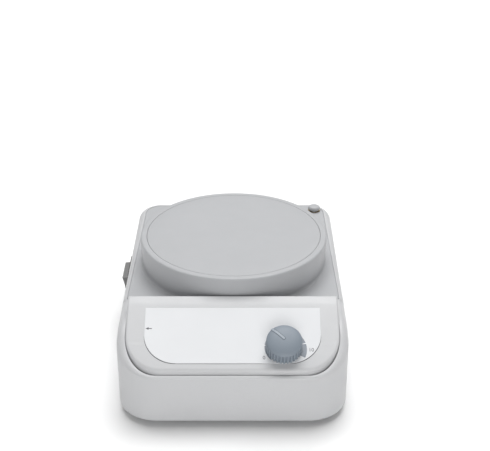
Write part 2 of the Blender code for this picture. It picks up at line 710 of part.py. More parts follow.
def board(frame):
    """Circuit board on two screws and spacers, with its largest parts."""
    plate = box("control_board", (BOARD_WIDTH, BOARD_DEPTH, BOARD_THICK), "board_green",
                (0, BOARD_Y, BOARD_Z), parent=frame)
    floor = FLOOR_Z + WALL + GAP
    underside = BOARD_Z - BOARD_THICK / 2 - GAP
    top = BOARD_Z + BOARD_THICK / 2 + GAP
    for number, (x, y) in enumerate(board_places()):
        hole = cylinder(f"board_hole_{number}", SCREW_R + GAP, 8, None, (x, y, BOARD_Z - 4), parent=frame,
                        segments=12)
        cut(plate, hole)
        ring(f"board_spacer_{number}", 3.6, SCREW_R + 2 * GAP, underside, floor, "brass", frame, 6,
             (x, y, 0))
        turned(f"board_screw_{number}", [
            (0, top + 2.0), (2.8, top + 1.5), (2.8, top), (SCREW_R, top), (SCREW_R, FLOOR_Z),
            (0, FLOOR_Z)], "steel", (x, y, 0), parent=frame, steps=12)
    settle(plate)
    box("mains_transformer", (26, 24, 17), "ferrite", (-24, BOARD_Y + 6, top + 8.5), parent=frame, bevel=1.5)
    cylinder("filter_capacitor", 6.3, 15, "black_plastic", (2, BOARD_Y + 8, top), parent=frame, segments=20)
    box("driver_heatsink", (3, 28, 16), "aluminium", (18, BOARD_Y + 6, top + 8), parent=frame)


# ---- switch, inlet, rod hole, feet and screws ----

def rocker_switch(frame, rocker_axis):
    """Switch housing with its bezel on the left wall, and the rocker on its own axis."""
    outer = -HALF_WIDTH - GAP
    body = box("switch_housing", (24, SWITCH_WIDTH - 3.2, SWITCH_HEIGHT - 3.2), "black_plastic",
               (outer + 11.5, SWITCH_Y, SWITCH_Z), parent=frame)
    join(body, box("switch_bezel", (SWITCH_BEZEL, SWITCH_WIDTH, SWITCH_HEIGHT), None,
                   (outer - SWITCH_BEZEL / 2, SWITCH_Y, SWITCH_Z), parent=frame))
    cut(body, box("rocker_pocket", (24, ROCKER_WIDTH + 2 * GAP, ROCKER_HEIGHT + 2 * GAP), None,
                  (outer - 2, SWITCH_Y, SWITCH_Z), parent=frame))
    settle(body)
    reach = ROCKER_REACH - GAP
    low, high = -ROCKER_HEIGHT / 2, ROCKER_HEIGHT / 2
    side = [(-reach, high - 1.2), (-2.2, low + 1.2), (1.5, low + 1.0), (5.0, -3), (5.0, 3),
            (-1.0, high - 0.6)]
    half = ROCKER_WIDTH / 2
    rings = [[(x, y, z) for x, z in side] for y in (-half, half)]
    rocker = loft("switch_rocker", rings, "switch_grey", parent=rocker_axis)
    add_bevel(rocker, 0.5, 1, 40)
    settle(rocker)


def power_inlet(frame):
    """Mains inlet in the rear wall: socket well with three blades, and a drawer for the fuse."""
    face = REAR_Y + GAP + INLET_FLANGE
    body = box("power_inlet", (INLET_WIDTH - 3, INLET_DEPTH, INLET_HEIGHT - 3), "black_plastic",
               (INLET_X, face - INLET_DEPTH / 2, INLET_Z), parent=frame)
    join(body, box("inlet_flange", (INLET_WIDTH + 22, INLET_FLANGE, INLET_HEIGHT), None,
                   (INLET_X, face - INLET_FLANGE / 2, INLET_Z), parent=frame))
    cut(body, box("socket_well", (20.0, 34, 16.0), None, (INLET_X, face, INLET_Z + 5.5), parent=frame))
    cut(body, box("drawer_well", (18.6, 38, 8.2), None, (INLET_X, face, INLET_Z - 9.5), parent=frame))
    for side in (-1, 1):
        cut(body, cylinder(f"flange_hole_{side}", SCREW_R + GAP, 10, None,
                           (INLET_X + side * INLET_SCREW_X, face + 5, INLET_Z), (math.radians(90), 0, 0), frame, 12))
    settle(body)
    blade_places = {"live": (-7.0, 3.0), "neutral": (7.0, 3.0), "earth": (0.0, 7.0)}
    for name, (x, z) in blade_places.items():
        box(f"inlet_blade_{name}", (2.0, 14.0, 4.0), "steel",
            (INLET_X + x, face - 17 + GAP + 7.0, INLET_Z + z), parent=frame)
    for number, side in enumerate((-1, 1)):
        turned(f"inlet_screw_{number}", [
            (0, INLET_SCREW_HEAD), (2.8, 1.5), (2.8, 0), (SCREW_R, 0), (SCREW_R, -8), (0, -8)], "steel",
            (INLET_X + side * INLET_SCREW_X, face + GAP, INLET_Z), (math.radians(-90), 0, 0), frame, 12)
    drawer = box("fuse_drawer", (18.0, 18.0, 7.6), "black_plastic",
                 (INLET_X, face - 9.0, INLET_Z - 9.5), parent=frame)
    cut(drawer, box("fuse_bay", (15.6, 22.5, 5.9), None, (INLET_X, face - 14.5, INLET_Z - 8.2),
                    parent=frame))
    settle(drawer)
    cylinder("fuse", 2.5, 12.0, "glass", (INLET_X - 6.0, face - 6.6, INLET_Z - 8.4),
             (0, math.radians(90), 0), frame, 16)


def rod_socket(frame, plug_axis):
    """Threaded bush for a support rod, closed by a push-in plug."""
    turned("rod_bush", [
        (ROD_HOLE_R, DECK_Z), (ROD_BUSH_R, DECK_Z), (ROD_BUSH_R, DECK_Z - 14), (ROD_HOLE_R, DECK_Z - 14)],
        "brass", (ROD_X, ROD_Y, 0), parent=frame, steps=24, closed=True)
    turned("rod_hole_plug", [
        (0, PLUG_HEIGHT), (PLUG_R - 1.6, PLUG_HEIGHT - 0.2), (PLUG_R - 0.4, PLUG_HEIGHT - 0.9),
        (PLUG_R, PLUG_HEIGHT - 1.8), (PLUG_R - 0.4, 0.9), (ROD_HOLE_R + 0.4, GAP), (ROD_HOLE_R - GAP, GAP),
        (ROD_HOLE_R - GAP, -6), (ROD_HOLE_R - 1, -7), (0, -7)], "deck_grey", parent=plug_axis, steps=24)


def feet_and_screws(frame):
    for number, (x, y) in enumerate(foot_places()):
        turned(f"rubber_foot_{number}", [
            (0, FLOOR_Z + WALL + 2.4), (FOOT_R * 0.4, FLOOR_Z + WALL + 1.6), (FOOT_R * 0.4, FLOOR_Z - GAP),
            (FOOT_R, FLOOR_Z - GAP), (FOOT_R, 0.8), (FOOT_R - 0.8, 0), (0, 0)],
            "rubber", (x, y, 0), parent=frame, steps=20)
    for number, (x, y) in enumerate(boss_places()):
        turned(f"cover_screw_{number}", [
            (0, 22), (SCREW_R, 21), (SCREW_R, FLOOR_Z - GAP), (2.8, FLOOR_Z - GAP), (2.8, FLOOR_Z - 1.6),
            (0, FLOOR_Z - 2.1)], "steel", (x, y, 0), parent=frame, steps=12)


def work_plate(frame):
    low = PLATE_Z - PLATE_THICK
    turned("work_plate", [
        (0, PLATE_Z), (PLATE_R - 0.4, PLATE_Z), (PLATE_R, PLATE_Z - 0.4), (PLATE_R, low + 0.4),
        (PLATE_R - 0.4, low), (0, low)], "deck_grey", parent=frame, steps=48)
    ring("plate_gasket", PLATE_R - 0.4, LEDGE_R + 0.4, LEDGE_Z + GAP, low - GAP, "rubber", frame, 48)


def wiring(frame):
    face = REAR_Y - 22
    wire("lead_inlet_to_switch", [
        (INLET_X - 7, face, 32), (INLET_X - 8, face - 8, 34), (-52, 55, 36), (-48, 36, 34), (-48, 24, 32),
        (-51, 17, 32)],
        0.9, "wire_brown", frame)
    wire("lead_switch_to_board", [
        (-51, 8, 32), (-48, 0, 32), (-50, -14, 33), (-54, -40, 30), (-44, -60, 26), (-40, -66, 22)],
        0.9, "wire_blue", frame)
    wire("lead_motor_to_board", [
        (21, -19, 15.6), (26, -30, 15.6), (32, -44, 15.6), (36, -60, 20), (38, -68, 22)],
        0.8, "wire_red", frame)


def build():
    frame = empty("frame", (FRAME_X, FRAME_Y, 0))
    plane = panel_plane()
    knob_axis = empty("knob_axis", (KNOB_X, -KNOB_DOWN, 0), parent=plane)
    spin = empty("spin_axis", parent=frame)
    rocker_axis = empty("rocker_axis", (-HALF_WIDTH - GAP, SWITCH_Y, SWITCH_Z), parent=frame)
    plug_axis = empty("plug_axis", (ROD_X, ROD_Y, DECK_Z), parent=frame)
    lower_shell(frame)
    upper_deck(frame)
    control_panel(frame)
    front_label(plane)
    work_plate(frame)
    speed_knob(knob_axis)
    potentiometer(empty("pot_axis", (KNOB_X, -KNOB_DOWN, 0), parent=plane), knob_axis)
    motor(frame, spin)
    board(frame)
    rocker_switch(frame, rocker_axis)
    power_inlet(frame)
    rod_socket(frame, plug_axis)
    feet_and_screws(frame)
    wiring(frame)


build()
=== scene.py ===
"""The looks of a compact magnetic stirrer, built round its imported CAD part.

Sizes are millimetres in the design frame: X = 0 is the housing's middle plane, Y = 0 is the spin axis under
the work plate and Z = 0 is the floor. The frame's own boxes give where that design frame stands."""

import math

import bmesh
import bpy
from mathutils import Euler, Matrix, Vector
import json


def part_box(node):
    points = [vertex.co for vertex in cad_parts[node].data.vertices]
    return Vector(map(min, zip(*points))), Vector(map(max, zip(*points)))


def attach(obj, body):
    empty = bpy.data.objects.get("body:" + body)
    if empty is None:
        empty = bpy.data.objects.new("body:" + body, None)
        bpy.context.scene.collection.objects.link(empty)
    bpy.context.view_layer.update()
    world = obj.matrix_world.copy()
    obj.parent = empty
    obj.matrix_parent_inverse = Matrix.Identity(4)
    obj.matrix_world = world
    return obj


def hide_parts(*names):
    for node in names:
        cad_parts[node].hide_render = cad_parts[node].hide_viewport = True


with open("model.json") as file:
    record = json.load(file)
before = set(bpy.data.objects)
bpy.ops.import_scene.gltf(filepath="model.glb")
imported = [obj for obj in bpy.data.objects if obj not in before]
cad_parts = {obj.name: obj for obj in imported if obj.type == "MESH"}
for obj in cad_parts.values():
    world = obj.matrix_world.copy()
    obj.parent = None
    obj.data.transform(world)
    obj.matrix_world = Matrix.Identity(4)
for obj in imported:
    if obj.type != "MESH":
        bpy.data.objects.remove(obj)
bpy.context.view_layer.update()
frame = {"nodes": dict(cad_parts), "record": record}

MM = 0.001
PLATE_LOW, PLATE_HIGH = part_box("work_plate")
SHELL_LOW, SHELL_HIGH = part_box("lower_shell")
ORIGIN = Vector(((PLATE_LOW.x + PLATE_HIGH.x) / 2, (PLATE_LOW.y + PLATE_HIGH.y) / 2, 0))
TO_WORLD = Matrix.Translation(ORIGIN) @ Matrix.Diagonal((MM, MM, MM, 1))

# Housing
HALF_WIDTH = (SHELL_HIGH.x - SHELL_LOW.x) / 2 / MM
FRONT_Y = (SHELL_LOW.y - ORIGIN.y) / MM
REAR_Y = (SHELL_HIGH.y - ORIGIN.y) / MM
FRONT_CORNER = 27.0
REAR_CORNER = 17.0
FLOOR_Z = 4.0  # underside of the tub, which stands on the feet
FLOOR_EDGE = 2.0  # rounding of the bottom edge
WALL = 2.2
DECK_Z = 58.7
DECK_THICK = 2.5
FRONT_RAIL_Z = 41.4
RAIL_BLEND = 5.0  # length over which the climbing rail turns level
FRONT_DIP = 2.0  # how much lower the rail lies in front of the panel
SHOULDER_STEP_Y = -58.0  # in front of this the shoulder is as wide as the panel leaves room for
SHOULDER_FRONT = 5.6
SHOULDER_MIDDLE = 3.2
SHOULDER_WIDENING = 2.2  # from the step to the rear end
SHOULDER_WIDENING_LENGTH = 130.0
SHOULDER_SIDE_DROP = 7.0
SHOULDER_FRONT_END = (2.3, 2.2)  # width and drop of the shoulder on the front wall
SHOULDER_REAR_END = (4.0, 4.5)  # and on the rear wall
GAP = 0.35

# Sloping panel
PANEL_TILT = math.radians(28.0)
BAND_TILT = math.radians(14.8)
PANEL_FRONT_Y = -119.9
PANEL_FRONT_Z = 42.9
PANEL_RIDGE_Y = -75.6
PANEL_REAR_Y = -68.4
PANEL_HALF_WIDTH = 70.6
PANEL_CORNER = 24.2
PANEL_REAR_CORNER = 1.2
PANEL_THICK = 2.4
PANEL_SKIRT = 11.0
PANEL_EDGE = 1.6
RIDGE_BLEND = 1.6  # half the length over which the slope turns into the rear band

# Work plate and drum
PLATE_Z = PLATE_HIGH.z / MM
PLATE_R = (PLATE_HIGH.x - PLATE_LOW.x) / 2 / MM
PLATE_THICK = 3.0
DRUM_R = 66.5
RIM_R = 67.5
DRUM_INNER_R = 64.0
LEDGE_R = 60.0
LEDGE_Z = 75.6
RIM_EDGE = 1.3  # rounding of the rim
RIM_GAP = 0.18  # between the plate and the rim
DRUM_FILLET = 2.0  # between the drum and the deck
LEDGE_THICK = 1.6
ROUND_STEPS = 192

# Label, print and knob
LABEL_HALF_WIDTH = 58.0
LABEL_TOP = 3.9
LABEL_HEIGHT = 41.3
LABEL_CORNER = 21.5
LABEL_LOW = 0.06
LABEL_HIGH = 0.5
INK = 0.05
INK_OVERLAP = 0.02  # how deep the print reaches into the film
SPEED_LOW = 225  # degrees at which the printed speed band starts
SPEED_HIGH = -27  # and ends
BAND_INNER = 7.0
BAND_OUTER = 12.0
BAND_GROWTH = 3.3  # how much the band's outer radius grows from low to high speed
NUMERAL_HEIGHT = 2.6
CAPITAL_SHARE = 0.72  # height of a numeral in the font's own size
KNOB_X = 33.5
KNOB_DOWN = 34.3
KNOB_R = 12.0
KNOB_SKIRT = 9.8  # height of the fluted part
KNOB_HEIGHT = 13.4
KNOB_FLUTES = 32
KNOB_POINTER = math.radians(134.0)
DOME_R = KNOB_R - 0.35
DOME_EDGE = KNOB_SKIRT + 0.3  # height at which the dome starts
DOME_RADII = (DOME_R, 11.6, 11.5, 11.3, 11.0, 10.6, 10.1, 9.4, 8.5, 7.4, 6.0, 4.4, 2.7, 1.2, 0.4)
SHAFT_R = 3.3

# Switch, inlet, rod hole, feet and screws
SWITCH_Y = 12.5
SWITCH_Z = 30.3
SWITCH_WIDTH = 29.0
SWITCH_HEIGHT = 32.0
SWITCH_BEZEL = 1.8
ROCKER_WIDTH = 23.6
ROCKER_HEIGHT = 25.4
ROCKER_REACH = 6.4  # of the upper end out of the wall
ROCKER_LOW_REACH = 2.2
ROCKER_MARGIN = 1.2  # between the dished faces and each end
INLET_X = -38.0
INLET_Z = 27.0
INLET_WIDTH = 27.0
INLET_HEIGHT = 33.0
INLET_FLANGE = 1.5
INLET_DEPTH = 22.0
INLET_SCREW_X = 20.0
ROD_X = 63.6
ROD_Y = 79.6
ROD_HOLE_R = 3.4
ROD_BUSH_R = 4.5
PLUG_R = 4.8
PLUG_HEIGHT = 4.0
PLUG_NECK_R = ROD_HOLE_R - 0.3
FOOT_R = 7.0
FOOT_STEM_R = 2.8
FOOT_HOLE_R = 3.1
FOOT_PLACES = [(x, y) for x in (-60.0, 60.0) for y in (-104.0, 74.0)]
BOSS_PLACES = [(x, y) for x in (-64.0, 64.0) for y in (-56.0, 58.0)]
BOARD_PLACES = [(x, -88.0) for x in (-45.0, 45.0)]
MOTOR_PLACES = [
    (32.0 * math.cos(math.radians(90 + 120 * n)), 32.0 * math.sin(math.radians(90 + 120 * n)))
    for n in range(3)
]
SCREW_R = 1.5
SCREW_HOLE_R = SCREW_R + 0.3
SCREW_HEAD_R = 2.8
BOSS_R = 4.2
VENT_COLUMNS = [(n - 2.5) * 8.0 for n in range(6)]
VENT_ROWS = (47.0, 69.0)

# Shading
FLAT_CORNERS = 16  # a face with more corners than this and
FLAT_AREA = 6e-5  # more square metres than this is a flat and keeps its own normal
INNER_ANGLE = 35  # sharpest edge, in degrees, that is shaded smooth on the inner nodes
MOTTLING = 0.02

# Camera
CAMERA_RIGHT = 8.2  # of the housing's middle plane
CAMERA_BACK = 680.1  # in front of the spin axis
CAMERA_HEIGHT = 436.6
CAMERA_PITCH = math.radians(27.28)
CAMERA_LENS = 77.6

# Light, in metres and watts
STUDIO_LEVEL = 0.28
SUN_STRENGTH = 2.25
SUN_SPREAD = math.radians(45)
SUN_DIRECTION = (-0.03, -0.42, -1.3)
SOFTBOXES = {
    "back_box": ((0.2, 1.0, 0.9), (1.2, 0.6), 4.0),
    "left_box": ((-0.85, 0.5, 1.1), (0.4, 1.2), 1.5),
    "right_box": ((0.85, 0.5, 1.1), (0.4, 1.2), 1.5),
    "front_box": ((0.15, -2.0, 0.5), (1.1, 0.8), 15.0),
}
FLOOR_SIZE = 30


# ---- materials ----

def socket(shader, name, value):
    shader.inputs[name].default_value = value


class Finish:
    """One procedural material: a Principled shader with helpers that add its nodes."""

    def __init__(self, name, colour, roughness, metallic=0.0):
        self.material = bpy.data.materials.new(name)
        self.material.use_nodes = True
        self.tree = self.material.node_tree
        self.shader = self.tree.nodes["Principled BSDF"]
        socket(self.shader, "Base Color", (*colour, 1))
        socket(self.shader, "Roughness", roughness)
        socket(self.shader, "Metallic", metallic)
        self.coords = self.node("ShaderNodeTexCoord").outputs["Object"]

    def node(self, kind, **values):
        made = self.tree.nodes.new(kind)
        for name, value in values.items():
            setattr(made, name, value)
        return made

    def link(self, start, end):
        self.tree.links.new(start, end)

    def noise(self, size, detail=3.0, stretch=(1, 1, 1)):
        """Noise whose blotches are about this many millimetres across."""
        mapping = self.node("ShaderNodeMapping")
        mapping.inputs["Scale"].default_value = stretch
        self.link(self.coords, mapping.inputs["Vector"])
        made = self.node("ShaderNodeTexNoise")
        made.inputs["Scale"].default_value = 1 / (size * MM)
        made.inputs["Detail"].default_value = detail
        self.link(mapping.outputs["Vector"], made.inputs["Vector"])
        return made.outputs["Fac"]

    def ranged(self, value, low, high, from_low=0.3, from_high=0.7):
        made = self.node("ShaderNodeMapRange")
        made.inputs["From Min"].default_value = from_low
        made.inputs["From Max"].default_value = from_high
        made.inputs["To Min"].default_value = low
        made.inputs["To Max"].default_value = high
        self.link(value, made.inputs["Value"])
        return made.outputs["Result"]

    def mixed(self, factor, first, second):
        """Mixes two colours; each is a colour or another node's output."""
        made = self.node("ShaderNodeMix", data_type="RGBA")
        self.link(factor, made.inputs["Factor"])
        for name, value in (("A", first), ("B", second)):
            target = [s for s in made.inputs if s.name == name and s.type == "RGBA"][0]
            if isinstance(value, tuple):
                target.default_value = (*value, 1)
            else:
                self.link(value, target)
        return [s for s in made.outputs if s.type == "RGBA"][0]

    def bump(self, heights):
        """Chains bumps; heights are (value, depth in millimetres, strength)."""
        last = None
        for value, depth, strength in heights:
            made = self.node("ShaderNodeBump")
            made.inputs["Distance"].default_value = depth * MM
            made.inputs["Strength"].default_value = strength
            self.link(value, made.inputs["Height"])
            if last:
                self.link(last, made.inputs["Normal"])
            last = made.outputs["Normal"]
        self.link(last, self.shader.inputs["Normal"])

    def paint(self, source):
        self.link(source, self.shader.inputs["Base Color"])

    def roughen(self, source):
        self.link(source, self.shader.inputs["Roughness"])

    def edges(self):
        """Brighter on convex edges, where moulded plastic gets rubbed."""
        return self.ranged(self.node("ShaderNodeNewGeometry").outputs["Pointiness"], 0, 1, 0.52, 0.62)


def tinted(colour, factor):
    return tuple(min(1.0, channel * factor) for channel in colour)


def moulded(name, colour, roughness, grain=0.35, depth=0.02, wear=0.06):
    """Injection-moulded plastic: spark-eroded grain, faint flow mottling and rubbed edges."""
    made = Finish(name, colour, roughness)
    dark, light = tinted(colour, 1 - MOTTLING), tinted(colour, 1 + MOTTLING)
    mottled = made.mixed(made.ranged(made.noise(35, 2), 0, 1), dark, light)
    specks = made.mixed(made.ranged(made.noise(0.9, 4), 0, 1, 0.35, 0.75), mottled, dark)
    worn = made.node("ShaderNodeMath", operation="MULTIPLY")
    made.link(made.edges(), worn.inputs[0])
    worn.inputs[1].default_value = 0.5
    made.paint(made.mixed(worn.outputs[0], specks, tinted(colour, 1 + wear)))
    made.roughen(made.ranged(made.noise(12, 4), roughness - 0.05, roughness + 0.06))
    made.bump([(made.noise(grain, 2), depth, 0.35), (made.noise(9, 2), 0.03, 0.2)])
    return made.material


def printed_film(name, colour):
    """Satin polycarbonate label film with a very fine emboss."""
    made = Finish(name, colour, 0.5)
    made.paint(made.mixed(made.ranged(made.noise(50, 2), 0, 1), tinted(colour, 0.985), tinted(colour, 1.01)))
    made.roughen(made.ranged(made.noise(6, 4), 0.46, 0.56))
    made.bump([(made.noise(0.25, 1), 0.008, 0.3)])
    return made.material


def ink(name, colour):
    """Screen-printed ink, uneven in tone and gloss."""
    made = Finish(name, colour, 0.4)
    made.paint(made.mixed(made.ranged(made.noise(0.5, 3), 0, 1), tinted(colour, 0.9), tinted(colour, 1.1)))
    made.roughen(made.ranged(made.noise(0.8, 3), 0.35, 0.48))
    return made.material


def metal(name, colour, roughness, stretch=(1, 1, 1), scratch=0.3):
    """Machined or plated metal: tool marks along one direction and uneven tone."""
    made = Finish(name, colour, roughness, 1.0)
    made.paint(made.mixed(made.ranged(made.noise(4, 4), 0, 1), tinted(colour, 0.88), tinted(colour, 1.06)))
    marks = made.noise(scratch, 4, stretch)
    made.roughen(made.ranged(marks, roughness - 0.08, roughness + 0.12))
    made.bump([(marks, 0.01, 0.4)])
    return made.material


def rubbery(name, colour):
    """Moulded rubber: matte, dusty in patches, finely pitted."""
    made = Finish(name, colour, 0.82)
    dust = made.ranged(made.noise(5, 5), 0, 1, 0.45, 0.8)
    made.paint(made.mixed(dust, colour, tinted(colour, 2.2)))
    made.roughen(made.ranged(made.noise(3, 4), 0.74, 0.92))
    made.bump([(made.noise(0.3, 3), 0.03, 0.5)])
    return made.material


def clear_glass(name):
    """Clear glass with a faintly uneven gloss."""
    made = Finish(name, (0.92, 0.96, 0.95), 0.06)
    socket(made.shader, "Transmission Weight", 0.9)
    socket(made.shader, "IOR", 1.5)
    made.roughen(made.ranged(made.noise(2, 3), 0.04, 0.1))
    return made.material


def circuit_board(name):
    """Solder mask over a faint pattern of tracks."""
    colour = (0.02, 0.16, 0.06)
    made = Finish(name, colour, 0.35)
    tracks = made.node("ShaderNodeTexVoronoi", feature="DISTANCE_TO_EDGE", distance="MANHATTAN")
    tracks.inputs["Scale"].default_value = 1 / (4 * MM)
    made.link(made.coords, tracks.inputs["Vector"])
    mask = made.ranged(tracks.outputs["Distance"], 1, 0, 0.04, 0.07)
    made.paint(made.mixed(mask, colour, (0.05, 0.30, 0.12)))
    made.bump([(mask, 0.03, 0.5)])
    return made.material


def winding(name, colour):
    """Enamelled copper wire wound side by side, darker between the turns as painted shade."""
    made = Finish(name, colour, 0.3, 1.0)
    turns = made.node("ShaderNodeTexWave", wave_type="BANDS", bands_direction="Z")
    turns.inputs["Scale"].default_value = 1 / (3 * MM)
    turns.inputs["Distortion"].default_value = 0.6
    made.link(made.coords, turns.inputs["Vector"])
    # The colour drops to under half in the grooves between the turns: painted shade over the turns' bumps.
    made.paint(made.mixed(turns.outputs["Fac"], tinted(colour, 0.45), colour))
    made.bump([(turns.outputs["Fac"], 0.15, 0.8)])
    return made.material


HOUSING = moulded("housing_plastic", (0.535, 0.54, 0.55), 0.42)
# A darker copy of the housing's plastic: painted shade for the deck and the drum's side, also used on the
# plate and the rod plug.
GREY_WITH_PAINTED_SHADE = moulded("grey_plastic_with_painted_shade", (0.405, 0.412, 0.425), 0.5)
KNOB = moulded("knob_plastic", (0.21, 0.245, 0.285), 0.5, depth=0.03, wear=0.0)
# A darker copy of the knob's plastic: painted shade, as a dark outline round the pointer.
KNOB_PAINTED_SHADE = moulded("pointer_painted_shade", (0.10, 0.12, 0.145), 0.6)
# A lighter copy of the knob's plastic: painted highlight on the pointer's top.
KNOB_PAINTED_HIGHLIGHT = moulded("pointer_painted_highlight", (0.30, 0.34, 0.385), 0.42)
BLACK = moulded("black_plastic", (0.018, 0.018, 0.019), 0.38, wear=1.2)
SWITCH = moulded("switch_plastic", (0.19, 0.19, 0.188), 0.32, wear=0.5)
FILM = printed_film("label_film", (0.685, 0.695, 0.71))
GREY_INK = ink("grey_ink", (0.22, 0.245, 0.28))
# Ink for the printed numbers and arrow. It also serves as the painted shade along the label's lower corners.
DARK_INK_AND_PAINTED_SHADE = ink("dark_ink_and_painted_shade", (0.10, 0.10, 0.11))
WHITE_INK = ink("white_ink", (0.85, 0.86, 0.87))
RUBBER = rubbery("foot_rubber", (0.03, 0.03, 0.031))
STEEL = metal("zinc_steel", (0.62, 0.63, 0.65), 0.3)
BRASS = metal("turned_brass", (0.78, 0.60, 0.28), 0.26, (1, 1, 8), 0.5)
ALUMINIUM = metal("cast_aluminium", (0.70, 0.71, 0.72), 0.42, (1, 1, 3), 0.6)
COPPER = winding("enamelled_copper", (0.72, 0.34, 0.17))
BOARD = circuit_board("solder_mask")
FERRITE = moulded("sintered_ferrite", (0.06, 0.06, 0.065), 0.6, 0.5, 0.05)
GLASS = clear_glass("fuse_glass")
WIRES = {
    "wire_brown": moulded("brown_insulation", (0.16, 0.06, 0.025), 0.4, 0.6),
    "wire_blue": moulded("blue_insulation", (0.03, 0.09, 0.40), 0.4, 0.6),
    "wire_red": moulded("red_insulation", (0.45, 0.02, 0.02), 0.4, 0.6),
}
SLOT_MATERIALS = {
    "housing_grey": HOUSING, "deck_grey": GREY_WITH_PAINTED_SHADE, "label_white": FILM, "knob_grey": KNOB,
    "black_plastic": BLACK, "switch_grey": SWITCH, "rubber": RUBBER, "steel": STEEL, "brass": BRASS,
    "aluminium": ALUMINIUM, "copper": COPPER, "board_green": BOARD, "ferrite": FERRITE, "glass": GLASS,
    **WIRES,
}


# ---- mesh tools ----

def rotation(degrees, axis):
    return Matrix.Rotation(math.radians(degrees), 4, axis)


def quarter_turns(count):
    """The angles that divide a quarter circle into this many steps."""
    return [math.radians(90 * n / count) for n in range(count + 1)]


def build(name, work, matrix=None, angle=30):
    """An object in the row frame from a bmesh in design millimetres, or in those of matrix."""
    if matrix is not None:
        bmesh.ops.transform(work, matrix=matrix, verts=work.verts)
    bmesh.ops.transform(work, matrix=TO_WORLD, verts=work.verts)
    bmesh.ops.recalc_face_normals(work, faces=work.faces)
    mesh = bpy.data.meshes.new(name)
    work.to_mesh(mesh)
    work.free()
    made = bpy.data.objects.new(name, mesh)
    bpy.context.scene.collection.objects.link(made)
    made["angle"] = angle
    return made


def baked(thing):
    """Replaces an object's modifiers by the mesh that they make."""
    graph = bpy.context.evaluated_depsgraph_get()
    mesh = bpy.data.meshes.new_from_object(thing.evaluated_get(graph))
    thing.modifiers.clear()
    thing.data = mesh
    return thing


def combine(target, operation, *tools):
    """Cuts tools from the target or joins them to it, one after another, and removes them."""
    for tool in tools:
        step = target.modifiers.new("combine", "BOOLEAN")
        step.operation = operation
        step.solver = "EXACT"
        step.object = tool
        baked(target)
        bpy.data.objects.remove(tool, do_unlink=True)
    return target


def cut(target, *tools):
    return combine(target, "DIFFERENCE", *tools)


def join(target, *tools):
    return combine(target, "UNION", *tools)


def soften(thing, width, segments, angle):
    """Rounds every edge sharper than angle."""
    bevel = thing.modifiers.new("soften", "BEVEL")
    bevel.width = width * MM
    bevel.segments = segments
    bevel.limit_method = "ANGLE"
    bevel.angle_limit = math.radians(angle)
    bevel.use_clamp_overlap = True
    return baked(thing)


def shade(thing, degrees):
    """Smooth shading over edges that are less sharp than this."""
    thing.data.shade_smooth()
    thing.data.set_sharp_from_angle(angle=math.radians(degrees))


def dress(thing, material):
    thing.data.materials.clear()
    thing.data.materials.append(material)


def piece(thing, material, body="base", replaces=()):
    """Finishes a piece: its shading and material, the body it rides on and the nodes it stands for."""
    shade(thing, thing["angle"])
    for face in thing.data.polygons:
        if len(face.vertices) > FLAT_CORNERS and face.area > FLAT_AREA:
            face.use_smooth = False
    dress(thing, material)
    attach(thing, body)
    if replaces:
        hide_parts(*replaces)
    return thing


def loft(rows, laddered=False):
    """A skin over rings of points, closed at both ends by a flat face or by a ladder of strips."""
    work = bmesh.new()
    rings = [[work.verts.new(point) for point in row] for row in rows]
    count = len(rings[0])
    for low, high in zip(rings, rings[1:]):
        for i in range(count):
            j = (i + 1) % count
            work.faces.new((low[i], low[j], high[j], high[i]))
    for ring in (rings[0], rings[-1]):
        if laddered:
            ladder(work, ring)
        else:
            work.faces.new(ring)
    return work


def ladder(work, ring):
    """Fills a ring whose points lie in pairs left and right of X = 0 with strips across it."""
    half = len(ring) // 2
    right = ring[:half]
    left = ring[:half - 1:-1]
    for (a, b), (c, d) in zip(zip(left, right), zip(left[1:], right[1:])):
        work.faces.new((a, b, d, c))


def turned(profile, steps=96, centre=(0, 0)):
    """A closed (radius, height) profile turned round a vertical axis."""
    work = bmesh.new()
    rows = []
    for radius, height in profile:
        if radius < 1e-6:
            rows.append([work.verts.new((*centre, height))])
            continue
        angles = [2 * math.pi * step / steps for step in range(steps)]
        spokes = [(radius * math.cos(a), radius * math.sin(a)) for a in angles]
        rows.append([work.verts.new((centre[0] + x, centre[1] + y, height)) for x, y in spokes])
    pairs = list(zip(rows, rows[1:]))
    if len(rows[0]) > 1:
        pairs.append((rows[-1], rows[0]))
    for low, high in pairs:
        for i in range(steps):
            j = (i + 1) % steps
            if len(low) == 1 and len(high) == 1:
                break
            if len(low) == 1:
                work.faces.new((low[0], high[j], high[i]))
            elif len(high) == 1:
                work.faces.new((low[i], low[j], high[0]))
            else:
                work.faces.new((low[i], low[j], high[j], high[i]))
    return work


def rounded(profile, radius):
    """A profile with its inner corners rounded: each corner becomes an arc-like curve of this radius."""
    steps = 4
    found = [profile[0]]
    for before, at, after in zip(profile, profile[1:], profile[2:]):
        at = Vector(at)
        first, last = Vector(before) - at, Vector(after) - at
        reach = min(radius, first.length * 0.45, last.length * 0.45)
        start, end = at + first.normalized() * reach, at + last.normalized() * reach
        for step in range(steps + 1):
            t = step / steps
            found.append(tuple((1 - t) ** 2 * start + 2 * t * (1 - t) * at + t * t * end))
    return found + [profile[-1]]


def rounded_outline(half_width, front, back, front_radius, back_radius, steps, stations=()):
    """(point, outward normal) round a plan outline, from the front middle anticlockwise; the left half
    mirrors the right one in reverse order."""
    right = []
    for x, y, radius, start in ((half_width - front_radius, front + front_radius, front_radius, 270),
                                (half_width - back_radius, back - back_radius, back_radius, 0)):
        for step in range(steps + 1):
            angle = math.radians(start + 90 * step / steps)
            normal = Vector((math.cos(angle), math.sin(angle)))
            right.append((Vector((x, y)) + radius * normal, normal))
        if start == 270:
            right += [(Vector((half_width, at)), Vector((1, 0))) for at in sorted(stations)]
    left = [(Vector((-p.x, p.y)), Vector((-n.x, n.y))) for p, n in reversed(right)]
    return right + left


